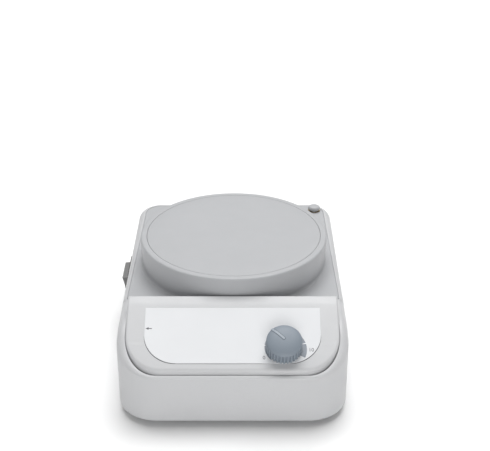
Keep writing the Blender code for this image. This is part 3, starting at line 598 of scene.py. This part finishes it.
def block(size, centre):
    work = bmesh.new()
    bmesh.ops.create_cube(work, size=1, matrix=Matrix.Translation(centre) @ Matrix.Diagonal((*size, 1)))
    return work


def rod(radius, low, high, centre=(0, 0), steps=48):
    return turned([(0, low), (radius, low), (radius, high), (0, high)], steps, centre)


def prism(outline, low, high):
    return loft([[(x, y, z) for x, y in outline] for z in (low, high)])


def soft_rectangle(width, height, radius, steps=6):
    """Points round a rectangle with rounded corners, from the lower left."""
    found = []
    for sx, sy, start in ((-1, -1, 180), (1, -1, 270), (1, 1, 0), (-1, 1, 90)):
        centre = Vector((sx * (width / 2 - radius), sy * (height / 2 - radius)))
        for step in range(steps + 1):
            angle = math.radians(start + 90 * step / steps)
            found.append(tuple(centre + radius * Vector((math.cos(angle), math.sin(angle)))))
    return found


def smooth_least(a, b, blend):
    """The smaller of two values, turning smoothly from one to the other."""
    h = max(0.0, blend - abs(a - b)) / blend
    return min(a, b) - h * h * blend / 4


# ---- heights and insets shared by the housing's pieces ----

def panel_height(y):
    slope = PANEL_FRONT_Z + math.tan(PANEL_TILT) * (y - PANEL_FRONT_Y)
    ridge = PANEL_FRONT_Z + math.tan(PANEL_TILT) * (PANEL_RIDGE_Y - PANEL_FRONT_Y)
    return smooth_least(slope, ridge + math.tan(BAND_TILT) * (y - PANEL_RIDGE_Y), RIDGE_BLEND * 0.3)


def rail_height(y):
    climb = FRONT_RAIL_Z + math.tan(PANEL_TILT) * (y - FRONT_Y)
    return smooth_least(climb, DECK_Z, RAIL_BLEND)


def shoulder_width(point, normal):
    """How far the rounded shoulder reaches in from the wall."""
    along = max(0.0, min(1.0, (point.y - SHOULDER_STEP_Y) / SHOULDER_WIDENING_LENGTH))
    turn = max(0.0, min(1.0, (point.y - SHOULDER_STEP_Y + 1) / 2))
    turn = turn * turn * (3 - 2 * turn)
    side = SHOULDER_FRONT + (SHOULDER_MIDDLE + SHOULDER_WIDENING * along - SHOULDER_FRONT) * turn
    end = (SHOULDER_FRONT_END if normal.y < 0 else SHOULDER_REAR_END)[0]
    return side * normal.x ** 2 + end * normal.y ** 2


def shoulder_drop(normal):
    """How far down the wall the rounded shoulder reaches."""
    end = (SHOULDER_FRONT_END if normal.y < 0 else SHOULDER_REAR_END)[1]
    return SHOULDER_SIDE_DROP * normal.x ** 2 + end * normal.y ** 2


def shoulder_top(point, normal):
    """The height of the shoulder's crest, which dips in front of the panel."""
    return rail_height(point.y) - FRONT_DIP * max(0.0, -normal.y) ** 2


# ---- the housing ----

def housing_tub():
    """The tub: rounded bottom edge, walls, rolled shoulder and the ledge inside it. The stations are closest
    where the rail turns level and where the shoulder has its step."""
    stations = [-95 + n for n in range(10)] + [-84, -80, -74, -68, -63]
    stations += [SHOULDER_STEP_Y - 2 + 0.5 * n for n in range(9)] + [-50, -30, -10, 15, 40, 60]
    outline = rounded_outline(HALF_WIDTH, FRONT_Y, REAR_Y, FRONT_CORNER, REAR_CORNER, 20, stations)
    rows = []

    def row(inset, height):
        rows.append([((p - n * inset(p, n)).x, (p - n * inset(p, n)).y, height(p, n)) for p, n in outline])

    for turn in quarter_turns(4):
        row(lambda p, n: FLOOR_EDGE * (1 - math.sin(turn)),
            lambda p, n: FLOOR_Z + FLOOR_EDGE * (1 - math.cos(turn)))
    row(lambda p, n: 0, lambda p, n: FLOOR_Z + 10)
    for turn in quarter_turns(10):
        row(lambda p, n: shoulder_width(p, n) * (1 - math.cos(turn)),
            lambda p, n: shoulder_top(p, n) - shoulder_drop(n) * (1 - math.sin(turn)))
    row(lambda p, n: shoulder_width(p, n) + 0.25, lambda p, n: shoulder_top(p, n) - 0.25)
    row(lambda p, n: shoulder_width(p, n) + 0.25, lambda p, n: shoulder_top(p, n) - 2.6)
    row(lambda p, n: WALL, lambda p, n: shoulder_top(p, n) - shoulder_drop(n) - 2.0)
    row(lambda p, n: WALL, lambda p, n: FLOOR_Z + WALL)
    tub = build("housing_tub", loft(rows), angle=32)
    switch_hole = build("switch_hole", block((10, SWITCH_WIDTH - 2.4, SWITCH_HEIGHT - 2.4),
                                             (-HALF_WIDTH, SWITCH_Y, SWITCH_Z)))
    inlet_hole = build("inlet_hole", block((INLET_WIDTH - 2, 10, INLET_HEIGHT - 2),
                                           (INLET_X, REAR_Y, INLET_Z)))
    cut(tub, switch_hole, inlet_hole, floor_openings(), wall_holes())
    return piece(tub, HOUSING, replaces=["lower_shell"])


def floor_openings():
    """The vent slots and the holes of feet and screws, as one cutter."""
    work = bmesh.new()
    holes = [(x, y, FOOT_HOLE_R) for x, y in FOOT_PLACES]
    holes += [(x, y, SCREW_HOLE_R) for x, y in BOSS_PLACES + MOTOR_PLACES + BOARD_PLACES]
    for x, y, radius in holes:
        bmesh.ops.create_cone(work, cap_ends=True, segments=32, radius1=radius, radius2=radius, depth=8,
                              matrix=Matrix.Translation((x, y, FLOOR_Z + 1)))
    for vent_y in VENT_ROWS:
        for vent_x in VENT_COLUMNS:
            slot = [(x + vent_x, y + vent_y) for x, y in soft_rectangle(3.0, 16.0, 1.45)]
            vent = prism(slot, FLOOR_Z - 3, FLOOR_Z + 5)
            mesh = bpy.data.meshes.new("vent")
            vent.to_mesh(mesh)
            vent.free()
            work.from_mesh(mesh)
            bpy.data.meshes.remove(mesh)
    return build("floor_openings", work)


def wall_holes():
    """The holes of the inlet's two screws in the rear wall."""
    work = bmesh.new()
    for side in (-1, 1):
        matrix = Matrix.Translation((INLET_X + side * INLET_SCREW_X, REAR_Y, INLET_Z)) @ rotation(90, "X")
        bmesh.ops.create_cone(work, cap_ends=True, segments=32, radius1=SCREW_HOLE_R,
                              radius2=SCREW_HOLE_R, depth=12, matrix=matrix)
    return build("wall_holes", work)


def deck_and_drum():
    """The deck with its round drum and the bosses under it."""
    steps = 16
    whole = rounded_outline(HALF_WIDTH - 5.4 - GAP, -50, REAR_Y - 4.0 - GAP, 1, REAR_CORNER - 4.5, steps)
    rear_corner = [tuple(point) for point, _ in whole[steps + 1:2 * (steps + 1)]]
    side = HALF_WIDTH - SHOULDER_MIDDLE - 0.05 - GAP
    half = [(PANEL_HALF_WIDTH, PANEL_REAR_Y + GAP), (PANEL_HALF_WIDTH, SHOULDER_STEP_Y - 0.9),
            (side, SHOULDER_STEP_Y + 1.5), (side, SHOULDER_STEP_Y + 4)] + rear_corner
    outline = half + [(-x, y) for x, y in reversed(half)]
    deck = build("deck_and_drum", prism(outline, DECK_Z - DECK_THICK, DECK_Z))
    soften(deck, 0.35, 2, 60)
    cut(deck, build("drum_opening", rod(DRUM_INNER_R + 0.5, DECK_Z - 6, DECK_Z + 2, steps=ROUND_STEPS)))
    groove = PLATE_R + RIM_GAP
    outside = [(groove, LEDGE_Z), (groove, PLATE_Z - 0.12), (groove + 0.12, PLATE_Z)]
    for turn in quarter_turns(6):
        outside.append((RIM_R - RIM_EDGE * (1 - math.sin(turn)), PLATE_Z - RIM_EDGE * (1 - math.cos(turn))))
    for turn in quarter_turns(6):
        outside.append((DRUM_R + DRUM_FILLET * (1 - math.cos(turn)),
                        DECK_Z + DRUM_FILLET * (1 - math.sin(turn)) - 0.02))
    outside.append((DRUM_R + DRUM_FILLET, DECK_Z - DECK_THICK - 1))
    inside = [(DRUM_INNER_R, DECK_Z - DECK_THICK - 1), (DRUM_INNER_R, LEDGE_Z - LEDGE_THICK),
              (LEDGE_R, LEDGE_Z - LEDGE_THICK), (LEDGE_R, LEDGE_Z)]
    join(deck, build("drum", turned(outside + inside, ROUND_STEPS)))
    low, high = FLOOR_Z + WALL + 0.3, DECK_Z - 1
    for x, y in BOSS_PLACES:
        tube = [(BOSS_R, low), (BOSS_R, high), (SCREW_HOLE_R, high), (SCREW_HOLE_R, low)]
        join(deck, build("boss", turned(tube, 32, (x, y))))
    cut(deck, build("bore", rod(ROD_BUSH_R + 0.3, DECK_Z - 20, DECK_Z + 10, (ROD_X, ROD_Y))))
    # Its grey is darker than the housing's: painted shade.
    return piece(deck, GREY_WITH_PAINTED_SHADE, replaces=["upper_deck"])


def top_plate():
    """The work plate, flush in the drum's rim, with a fine radius on its edge."""
    low = PLATE_Z - PLATE_THICK
    profile = rounded([(0, low), (PLATE_R, low), (PLATE_R, PLATE_Z), (0, PLATE_Z)], 0.25)
    rings = [(radius, PLATE_Z) for radius in (50, 35, 18)]
    plate = build("top_plate", turned(profile[:-1] + rings + profile[-1:], ROUND_STEPS))
    return piece(plate, GREY_WITH_PAINTED_SHADE, replaces=["work_plate"])


def front_panel():
    """The sloping panel: a shell with rolled edges and a pocket-free top that the label lies on."""
    stations = [PANEL_RIDGE_Y + 0.4 * n for n in range(-4, 5)]
    outline = rounded_outline(PANEL_HALF_WIDTH, PANEL_FRONT_Y, PANEL_REAR_Y, PANEL_CORNER,
                              PANEL_REAR_CORNER, 18, stations)
    rows = []

    def row(inset, lift):
        points = [p - n * inset for p, n in outline]
        rows.append([(p.x, p.y, panel_height(p.y) + lift) for p in points])

    row(PANEL_THICK, -PANEL_THICK / math.cos(PANEL_TILT))
    row(PANEL_THICK, -PANEL_SKIRT)
    row(0.0, -PANEL_SKIRT)
    row(0.0, -PANEL_SKIRT / 2)
    for turn in quarter_turns(6):
        row(PANEL_EDGE * (1 - math.cos(turn)), -PANEL_EDGE * (1 - math.sin(turn)))
    panel = build("front_panel", loft(rows, laddered=True), angle=35)
    hole = build("pot_hole", rod(3.9, -14, 10, (KNOB_X, -KNOB_DOWN)), PANEL_PLANE)
    cut(panel, hole)
    return piece(panel, HOUSING, replaces=["control_panel"])


# ---- the sloping panel's plane: X right, Y up the slope, Z out of it, from the middle of the ridge ----

PANEL_TOP_Z = panel_height(PANEL_RIDGE_Y - 3) + 3 * math.tan(PANEL_TILT)
PANEL_PLANE = Matrix.Translation((0, PANEL_RIDGE_Y, PANEL_TOP_Z)) @ Matrix.Rotation(PANEL_TILT, 4, "X")
KNOB_PLANE = PANEL_PLANE @ Matrix.Translation((KNOB_X, -KNOB_DOWN, 0))


def label_outline(grow=0.0):
    """Square upper corners, large round lower corners."""
    bottom = -LABEL_TOP - LABEL_HEIGHT
    found = [(LABEL_HALF_WIDTH + grow, -LABEL_TOP + grow), (-LABEL_HALF_WIDTH - grow, -LABEL_TOP + grow)]
    for start, side in ((180, -1), (270, 1)):
        for step in range(25):
            angle = math.radians(start + 90 * step / 24)
            radius = LABEL_CORNER + grow
            found.append((side * (LABEL_HALF_WIDTH - LABEL_CORNER) + radius * math.cos(angle),
                          bottom + LABEL_CORNER + radius * math.sin(angle)))
    return found


def label_film():
    """The label, its bevelled cut edge and the hole that the knob's shaft comes through."""
    film = build("label_film", prism(label_outline(), LABEL_LOW, LABEL_HIGH), PANEL_PLANE)
    cut(film, build("film_hole", rod(6.0, -1, 3, (KNOB_X, -KNOB_DOWN)), PANEL_PLANE))
    soften(film, 0.12, 2, 40)
    return piece(film, FILM, replaces=["front_label"])


def arc_band(inner, outer, growth, start, end, low, high, steps):
    """A flat band along an arc; its outer radius grows from start to end."""
    near, far = [], []
    for step in range(steps + 1):
        share = step / steps
        angle = math.radians(start + (end - start) * share)
        reach = outer + growth * share
        near.append((inner * math.cos(angle), inner * math.sin(angle)))
        far.append((reach * math.cos(angle), reach * math.sin(angle)))
    return prism(near + far[::-1], low, high)


def speed_print():
    """The printed scale round the knob: a band that widens with speed, its ticks and end numbers."""
    low, high = LABEL_HIGH - INK_OVERLAP, LABEL_HIGH + INK
    band = arc_band(BAND_INNER, BAND_OUTER, BAND_GROWTH, SPEED_LOW, SPEED_HIGH, low, high, 72)
    piece(build("speed_band", band, KNOB_PLANE), GREY_INK)
    for number in range(6):
        angle = 170 - 31.2 * number
        reach = BAND_OUTER + BAND_GROWTH * (SPEED_LOW - angle) / (SPEED_LOW - SPEED_HIGH) + 0.6
        tick = arc_band(11.2, reach, 0.0, angle - 0.9, angle + 0.9, high - 0.02, high + 0.02, 4)
        piece(build(f"speed_tick_{number}", tick, KNOB_PLANE), WHITE_INK)
    numeral("speed_low", "0", (-13.0, -7.0))
    numeral("speed_high", "10", (17.8, -1.3))


def numeral(name, text, place):
    """One printed number on the label, in the knob's plane."""
    curve = bpy.data.curves.new(name, "FONT")
    curve.body = text
    curve.size = NUMERAL_HEIGHT / CAPITAL_SHARE
    curve.align_x = "CENTER"
    curve.align_y = "CENTER"
    curve.extrude = INK / 2
    curve.resolution_u = 6
    holder = bpy.data.objects.new(name, curve)
    bpy.context.scene.collection.objects.link(holder)
    graph = bpy.context.evaluated_depsgraph_get()
    mesh = bpy.data.meshes.new_from_object(holder.evaluated_get(graph))
    bpy.data.objects.remove(holder, do_unlink=True)
    work = bmesh.new()
    work.from_mesh(mesh)
    bmesh.ops.remove_doubles(work, verts=work.verts, dist=0.0005)
    made = build(name, work, KNOB_PLANE @ Matrix.Translation((*place, LABEL_HIGH + INK / 2)))
    return piece(made, DARK_INK_AND_PAINTED_SHADE)


def switch_mark():
    """A small arrow that points to the switch on the left wall."""
    y, tip = -19.7, -LABEL_HALF_WIDTH + 0.7
    head, tail = tip + 2.0, tip + 4.2
    outline = [(tip, y), (head, y - 1.0), (head, y - 0.3), (tail, y - 0.3), (tail, y + 0.3), (head, y + 0.3),
               (head, y + 1.0)]
    arrow = build("switch_arrow", prism(outline, LABEL_HIGH - INK_OVERLAP, LABEL_HIGH + INK), PANEL_PLANE)
    piece(arrow, DARK_INK_AND_PAINTED_SHADE)


def label_shadow_line():
    """Painted shade: a dark strip on the panel along the label's round lower corners, where the film's edge
    lies in shade.
    """
    centre_y = -LABEL_TOP - LABEL_HEIGHT + LABEL_CORNER
    for side, name in ((-1, "left"), (1, "right")):
        near, far = [], []
        for step in range(41):
            share = step / 40
            angle = math.radians(270 + side * 88 * share)
            width = 0.42 * math.sin(math.pi * share) ** 0.5
            centre = Vector((side * (LABEL_HALF_WIDTH - LABEL_CORNER), centre_y))
            spoke = Vector((math.cos(angle), math.sin(angle)))
            near.append(tuple(centre + (LABEL_CORNER - 1.0) * spoke))
            far.append(tuple(centre + (LABEL_CORNER + width) * spoke))
        line = build(f"label_painted_shade_{name}", prism(near + far[::-1], 0.01, 0.05), PANEL_PLANE)
        # A dark strip, painted shade, in the same material as the print.
        piece(line, DARK_INK_AND_PAINTED_SHADE)


# ---- the knob ----

def dome_height(radius):
    """The knob's domed top: nearly flat in the middle, rolling over towards the fluted skirt."""
    share = min(1.0, abs(radius) / DOME_R)
    return DOME_EDGE + (KNOB_HEIGHT - KNOB_SKIRT - 0.3) * (1 - share ** 2.4) ** 0.6


def pointer_height(radius):
    """The pointer's top: a shallow arch, never lower than the dome, that ends proud of its rim."""
    return max(KNOB_HEIGHT + 0.3 - 2.6 * (radius / KNOB_R) ** 2, dome_height(radius) + 0.25)


def fluted_radius(angle, radius, depth):
    """Rounded ridges between narrower grooves."""
    wave = math.cos(KNOB_FLUTES * angle)
    ridge = 1 / (1 + math.exp(-6 * (wave + 0.15)))
    return radius - depth * (1 - ridge)


def fluted_knob():
    """Fluted skirt under a smooth dome, with a raised pointer in a lighter tone, painted highlight, over a
    dark strip round it, painted shade.
    """
    count = KNOB_FLUTES * 12
    angles = [2 * math.pi * (n + 0.5) / count for n in range(count)]
    rows = []
    top = KNOB_SKIRT
    # Each ring of the skirt has its inset from KNOB_R, the depth of its grooves and its height.
    skirt = [(0.5, 0.7, 1.0), (0.12, 1.0, 1.15), (0, 1.0, 1.5), (0.1, 1.0, 4.0), (0.22, 1.0, top - 1.3),
             (0.28, 1.0, top - 0.7), (0.31, 0.85, top - 0.35), (0.33, 0.5, top - 0.1),
             (0.35, 0.15, top + 0.1)]
    for inset, depth, height in skirt:
        reach = [fluted_radius(a, KNOB_R - inset, depth) for a in angles]
        rows.append([(r * math.cos(a), r * math.sin(a), height) for r, a in zip(reach, angles)])
    for radius in DOME_RADII:
        rows.append([(radius * math.cos(a), radius * math.sin(a), dome_height(radius)) for a in angles])
    knob = build("fluted_knob", loft(rows), KNOB_PLANE, 40)
    cut(knob, build("shaft_bore", rod(SHAFT_R, -1, 9.0), KNOB_PLANE),
        build("under_hollow", rod(10.0, -1, 2.5), KNOB_PLANE))
    piece(knob, KNOB, "knob", ["speed_knob"])
    # A dark strip round the pointer, just proud of the dome: painted shade.
    shade_strip = pointer_bar(1.15, -0.6, 11.0, lambda r: dome_height(r) - 0.4,
                       lambda r: dome_height(r) + 0.05, 0.03)
    piece(build("pointer_painted_shade", shade_strip, KNOB_PLANE), KNOB_PAINTED_SHADE, "knob")
    # The pointer, lighter than the knob: painted highlight.
    bar = pointer_bar(0.82, -0.27, DOME_R, lambda r: pointer_height(r) - 3.2, pointer_height, 0.2)
    piece(build("pointer", bar, KNOB_PLANE), KNOB_PAINTED_HIGHLIGHT, "knob")


def pointer_bar(half, start, end, under, over, edge):
    """A bar along the pointer's direction with a round inner end; its faces follow under and over."""
    stations = [(start + half * (1 - math.cos(a)), half * math.sin(a))
                for a in (math.radians(15 * n) for n in range(1, 6))]
    stations += [(start + half + (end - start - half) * n / 30, half) for n in range(31)]
    rows = []
    for x, w in stations:
        low, high, inner = under(x), over(x), max(w - edge, w * 0.5)
        rows.append([(x, -w, low), (x, w, low), (x, w, high - edge), (x, inner, high), (x, -inner, high),
                     (x, -w, high - edge)])
    work = loft(rows)
    bmesh.ops.rotate(work, verts=work.verts, matrix=Matrix.Rotation(KNOB_POINTER, 3, "Z"))
    return work


# ---- switch, in the left wall's frame: X to the front, Y up, Z out of the wall ----

WALL_LEFT = (Matrix.Translation((-HALF_WIDTH - 0.3, SWITCH_Y, SWITCH_Z)) @ rotation(-90, "Z")
             @ rotation(90, "X"))


def switch_body():
    """Bezel with rounded corners, and the box behind it with the rocker's pocket."""
    outline = soft_rectangle(SWITCH_WIDTH, SWITCH_HEIGHT, 1.6)
    bezel = build("switch_body", prism(outline, 0, SWITCH_BEZEL), WALL_LEFT)
    soften(bezel, 0.5, 3, 50)
    box = block((SWITCH_WIDTH - 3.2, SWITCH_HEIGHT - 3.2, 23.5), (0, 0, -11.5))
    join(bezel, build("switch_box", box, WALL_LEFT))
    pocket = prism(soft_rectangle(ROCKER_WIDTH + 0.6, ROCKER_HEIGHT + 0.6, 0.5), -10, 10)
    cut(bezel, build("rocker_pocket", pocket, WALL_LEFT))
    return piece(bezel, BLACK, replaces=["switch_housing"])


def rocker():
    """The rocker, raised at its upper end, with its two faces dished, its edges rounded and its marks."""
    low, high = -ROCKER_HEIGHT / 2, ROCKER_HEIGHT / 2
    face = []
    for step in range(25):
        share = step / 24
        height = low + ROCKER_MARGIN + (high - low - 2 * ROCKER_MARGIN) * share
        straight = ROCKER_LOW_REACH + (ROCKER_REACH - ROCKER_LOW_REACH) * share
        depth, along = (0.55, share * 2) if share < 0.5 else (0.4, share * 2 - 1)
        face.append((straight - depth * math.sin(math.pi * along), height))
    side = face + [(1.0, high - 0.6), (-5.0, 3), (-5.0, -3), (-1.5, low + 1.0)]
    half = ROCKER_WIDTH / 2
    rows = [[(x, up, out) for out, up in side] for x in (-half, half)]
    made = build("rocker", loft(rows), WALL_LEFT, 25)
    soften(made, 0.45, 3, 50)
    piece(made, SWITCH, "rocker", ["switch_rocker"])
    rocker_marks()


def rocker_marks():
    """The moulded on and off marks: a bar above and a ring below, each sunk into its dished face."""
    slope = math.atan2(ROCKER_REACH - ROCKER_LOW_REACH, ROCKER_HEIGHT - 2 * ROCKER_MARGIN)
    low, high = -0.4, 0.1
    bar = prism(soft_rectangle(0.8, 4.6, 0.3), low, high)
    ring = turned([(1.6, low), (2.3, low), (2.3, high), (1.6, high)], 48)
    for name, work, up in (("mark_on", bar, 6.2), ("mark_off", ring, -6.2)):
        out = (ROCKER_LOW_REACH + ROCKER_REACH) / 2 + up * math.tan(slope) - 0.45
        matrix = WALL_LEFT @ Matrix.Translation((0, up, out)) @ Matrix.Rotation(slope, 4, "X")
        piece(build(name, work, matrix), WHITE_INK, "rocker")


# ---- mains inlet, in the rear wall's frame: X to the right as seen from behind, Y up, Z out of the wall ----

INLET_FACE = REAR_Y + 0.3 + INLET_FLANGE
WALL_REAR = Matrix.Translation((INLET_X, INLET_FACE, INLET_Z)) @ rotation(180, "Z") @ rotation(90, "X")
WELL_Y = 5.5
DRAWER_Y = -9.5


def inlet_body():
    """Flange with rounded corners and screw holes, the socket well with its cut corners, and the well of the
    fuse drawer."""
    flange = soft_rectangle(INLET_WIDTH + 22, INLET_HEIGHT, 3.0, 10)
    body = build("inlet_body", prism(flange, -INLET_FLANGE, 0), WALL_REAR)
    soften(body, 0.4, 3, 50)
    join(body, build("inlet_box", block((INLET_WIDTH - 3, INLET_HEIGHT - 3, INLET_DEPTH - 0.5),
                                        (0, 0, -INLET_DEPTH / 2 - 0.25)), WALL_REAR))
    cut(body, build("socket_well", prism(well_outline(20.0, 16.0, 4.0), -17, 2), WALL_REAR),
        build("drawer_well", block((18.6, 8.2, 38), (0, DRAWER_Y, 0)), WALL_REAR))
    for side in (-1, 1):
        cut(body, build("flange_hole", rod(SCREW_HOLE_R, -5, 5, (side * INLET_SCREW_X, 0)), WALL_REAR))
    return piece(body, BLACK, replaces=["power_inlet"])


def well_outline(width, height, corner):
    """The socket's opening: square below, with its two upper corners cut off."""
    half = width / 2
    low, high = WELL_Y - height / 2, WELL_Y + height / 2
    return [(-half, low), (half, low), (half, high - corner), (half - corner, high), (-half + corner, high),
            (-half, high - corner)]


def drawer_front():
    """The fuse drawer with a finger rib on its face and the bay that holds the fuse."""
    made = build("drawer", block((18.0, 7.6, 18.0), (0, DRAWER_Y, -9.0)), WALL_REAR)
    soften(made, 0.35, 3, 40)
    cut(made, build("drawer_bay", block((15.6, 5.9, 22.5), (0, DRAWER_Y + 1.3, -14.5)), WALL_REAR))
    rib = prism(soft_rectangle(9.0, 1.4, 0.6), -1.0, 0.9)
    join(made, build("drawer_rib", rib, WALL_REAR @ Matrix.Translation((0, DRAWER_Y - 1.6, 0))))
    return piece(made, BLACK, "fuse_holder", ["fuse_drawer"])


# ---- rod plug, feet and screws ----

def rod_plug():
    """Push-in plug: crowned head that stands clear of the deck on its stem, with a lever notch."""
    stem = [(0, -7), (PLUG_NECK_R - 0.7, -7), (PLUG_NECK_R, -6), (PLUG_NECK_R, 0.35)]
    head = [(PLUG_R - 0.5, 0.9), (PLUG_R, 1.7), (PLUG_R, PLUG_HEIGHT - 1.5),
            (PLUG_R - 0.9, PLUG_HEIGHT - 0.3), (0, PLUG_HEIGHT)]
    matrix = Matrix.Translation((ROD_X, ROD_Y, DECK_Z))
    plug = build("rod_plug_cap", turned(rounded(stem + head, 0.8)), matrix)
    notch = block((2.6, 1.4, 0.8), (0, -PLUG_R, 1.2))
    cut(plug, build("plug_notch", notch, matrix))
    return piece(plug, GREY_WITH_PAINTED_SHADE, "rod_plug", ["rod_hole_plug"])


def feet():
    """Push-in rubber feet with a rounded tread, a centre dimple and a barb above the tub's floor."""
    top, stem = FLOOR_Z + WALL, FOOT_STEM_R
    tread = [(0, 0.6), (2.2, 0.5), (2.8, 0.0), (FOOT_R, 0), (FOOT_R, FLOOR_Z - 0.3), (stem, FLOOR_Z - 0.3)]
    barb = [(stem, top + 0.4), (stem + 0.6, top + 0.6), (stem, top + 1.6), (0, top + 2.4)]
    for number, (x, y) in enumerate(FOOT_PLACES):
        foot = build(f"foot_{number}", turned(rounded(tread + barb, 0.6), 64, (x, y)))
        piece(foot, RUBBER, replaces=[f"rubber_foot_{number}"])


def cross_recess(matrix):
    """The cutters of a cross recess: two crossed tapered bars that point down from z = 0."""
    tools = []
    half_width, half_length = 0.375, 1.5
    corners = ((-half_width, -half_length), (half_width, -half_length), (half_width, half_length),
               (-half_width, half_length))
    for turn in (0, 90):
        rows = [[(x * size, y * size, z) for x, y in corners] for z, size in ((-1.1, 0.45), (0.3, 1.0))]
        tools.append(build("recess", loft(rows), matrix @ rotation(turn, "Z")))
    return tools


def screw(name, profile, matrix, recess_at, node):
    """A screw turned from its profile, with a cross recess that starts at this height."""
    made = build(name, turned(rounded(profile, 0.4), 48), matrix)
    cut(made, *cross_recess(matrix @ Matrix.Translation((0, 0, recess_at))))
    piece(made, STEEL, replaces=[node])


def screws():
    """Cover screws under the floor, with their heads down, and the two screws of the inlet's flange."""
    for number, (x, y) in enumerate(BOSS_PLACES):
        matrix = Matrix.Translation((x, y, FLOOR_Z - 0.3)) @ rotation(180, "X")
        profile = [(0, -FLOOR_Z - 14), (SCREW_R, -FLOOR_Z - 13), (SCREW_R, 0), (SCREW_HEAD_R, 0),
                   (SCREW_HEAD_R, 1.0), (1.9, 1.7), (0, 1.8)]
        screw(f"floor_screw_{number}", profile, matrix, 1.8, f"cover_screw_{number}")
    for number, side in enumerate((-1, 1)):
        matrix = WALL_REAR @ Matrix.Translation((-side * INLET_SCREW_X, 0, 0.3))
        profile = [(0, -8), (SCREW_R, -7.6), (SCREW_R, 0), (SCREW_HEAD_R, 0), (SCREW_HEAD_R, 0.9),
                   (1.9, 1.85), (0, 2.0)]
        screw(f"flange_screw_{number}", profile, matrix, 2.0, f"inlet_screw_{number}")


# ---- what is shown as the frame has it ----

def finish_inner_nodes():
    """The nodes that keep their own shape get the material of their slot."""
    slots = {part["node"]: part["material_slot"] for part in frame["record"]["subparts"]}
    for name, thing in frame["nodes"].items():
        dress(thing, SLOT_MATERIALS[slots[name]])
        shade(thing, INNER_ANGLE)


# ---- floor, light and camera ----

def floor():
    """A plain pale floor, softly mottled."""
    made = Finish("floor_white", (0.93, 0.93, 0.93), 0.6)
    made.paint(made.mixed(made.ranged(made.noise(400, 2), 0, 1), (0.925, 0.925, 0.925), (0.94, 0.94, 0.94)))
    bpy.ops.mesh.primitive_plane_add(size=FLOOR_SIZE, location=(0, 0, 0))
    plane = bpy.context.active_object
    plane.name = "floor"
    plane.data.materials.append(made.material)


def hang(light, place, target):
    """Puts a light at its place, turned towards the target."""
    holder = bpy.data.objects.new(light.name, light)
    holder.location = place
    holder.rotation_euler = (Vector(target) - Vector(place)).to_track_quat("-Z", "Y").to_euler()
    bpy.context.scene.collection.objects.link(holder)


def lights():
    """A bright room, a very soft sun from above and behind, and softboxes on all four sides."""
    world = bpy.data.worlds.new("studio")
    world.use_nodes = True
    background = world.node_tree.nodes["Background"]
    background.inputs["Color"].default_value = (1, 1, 1, 1)
    background.inputs["Strength"].default_value = STUDIO_LEVEL
    bpy.context.scene.world = world
    sun = bpy.data.lights.new("sky_sun", "SUN")
    sun.energy = SUN_STRENGTH
    sun.angle = SUN_SPREAD
    hang(sun, (0, 0, 0), SUN_DIRECTION)
    for name, (place, size, power) in SOFTBOXES.items():
        light = bpy.data.lights.new(name, "AREA")
        light.shape = "RECTANGLE"
        light.size, light.size_y = size
        light.energy = power
        hang(light, place, (ORIGIN.x, 0, 0.05))


def camera():
    data = bpy.data.cameras.new("camera")
    data.lens = CAMERA_LENS
    data.sensor_width = 36
    data.clip_end = 100
    holder = bpy.data.objects.new("camera", data)
    holder.location = TO_WORLD @ Vector((CAMERA_RIGHT, -CAMERA_BACK, CAMERA_HEIGHT))
    holder.rotation_euler = Euler((math.radians(90) - CAMERA_PITCH, 0, 0))
    bpy.context.scene.collection.objects.link(holder)
    bpy.context.scene.camera = holder


bpy.context.scene.view_settings.view_transform = "Standard"
camera()
lights()
floor()
finish_inner_nodes()
housing_tub()
deck_and_drum()
top_plate()
front_panel()
label_film()
speed_print()
switch_mark()
label_shadow_line()
fluted_knob()
switch_body()
rocker()
inlet_body()
drawer_front()
rod_plug()
feet()
screws()
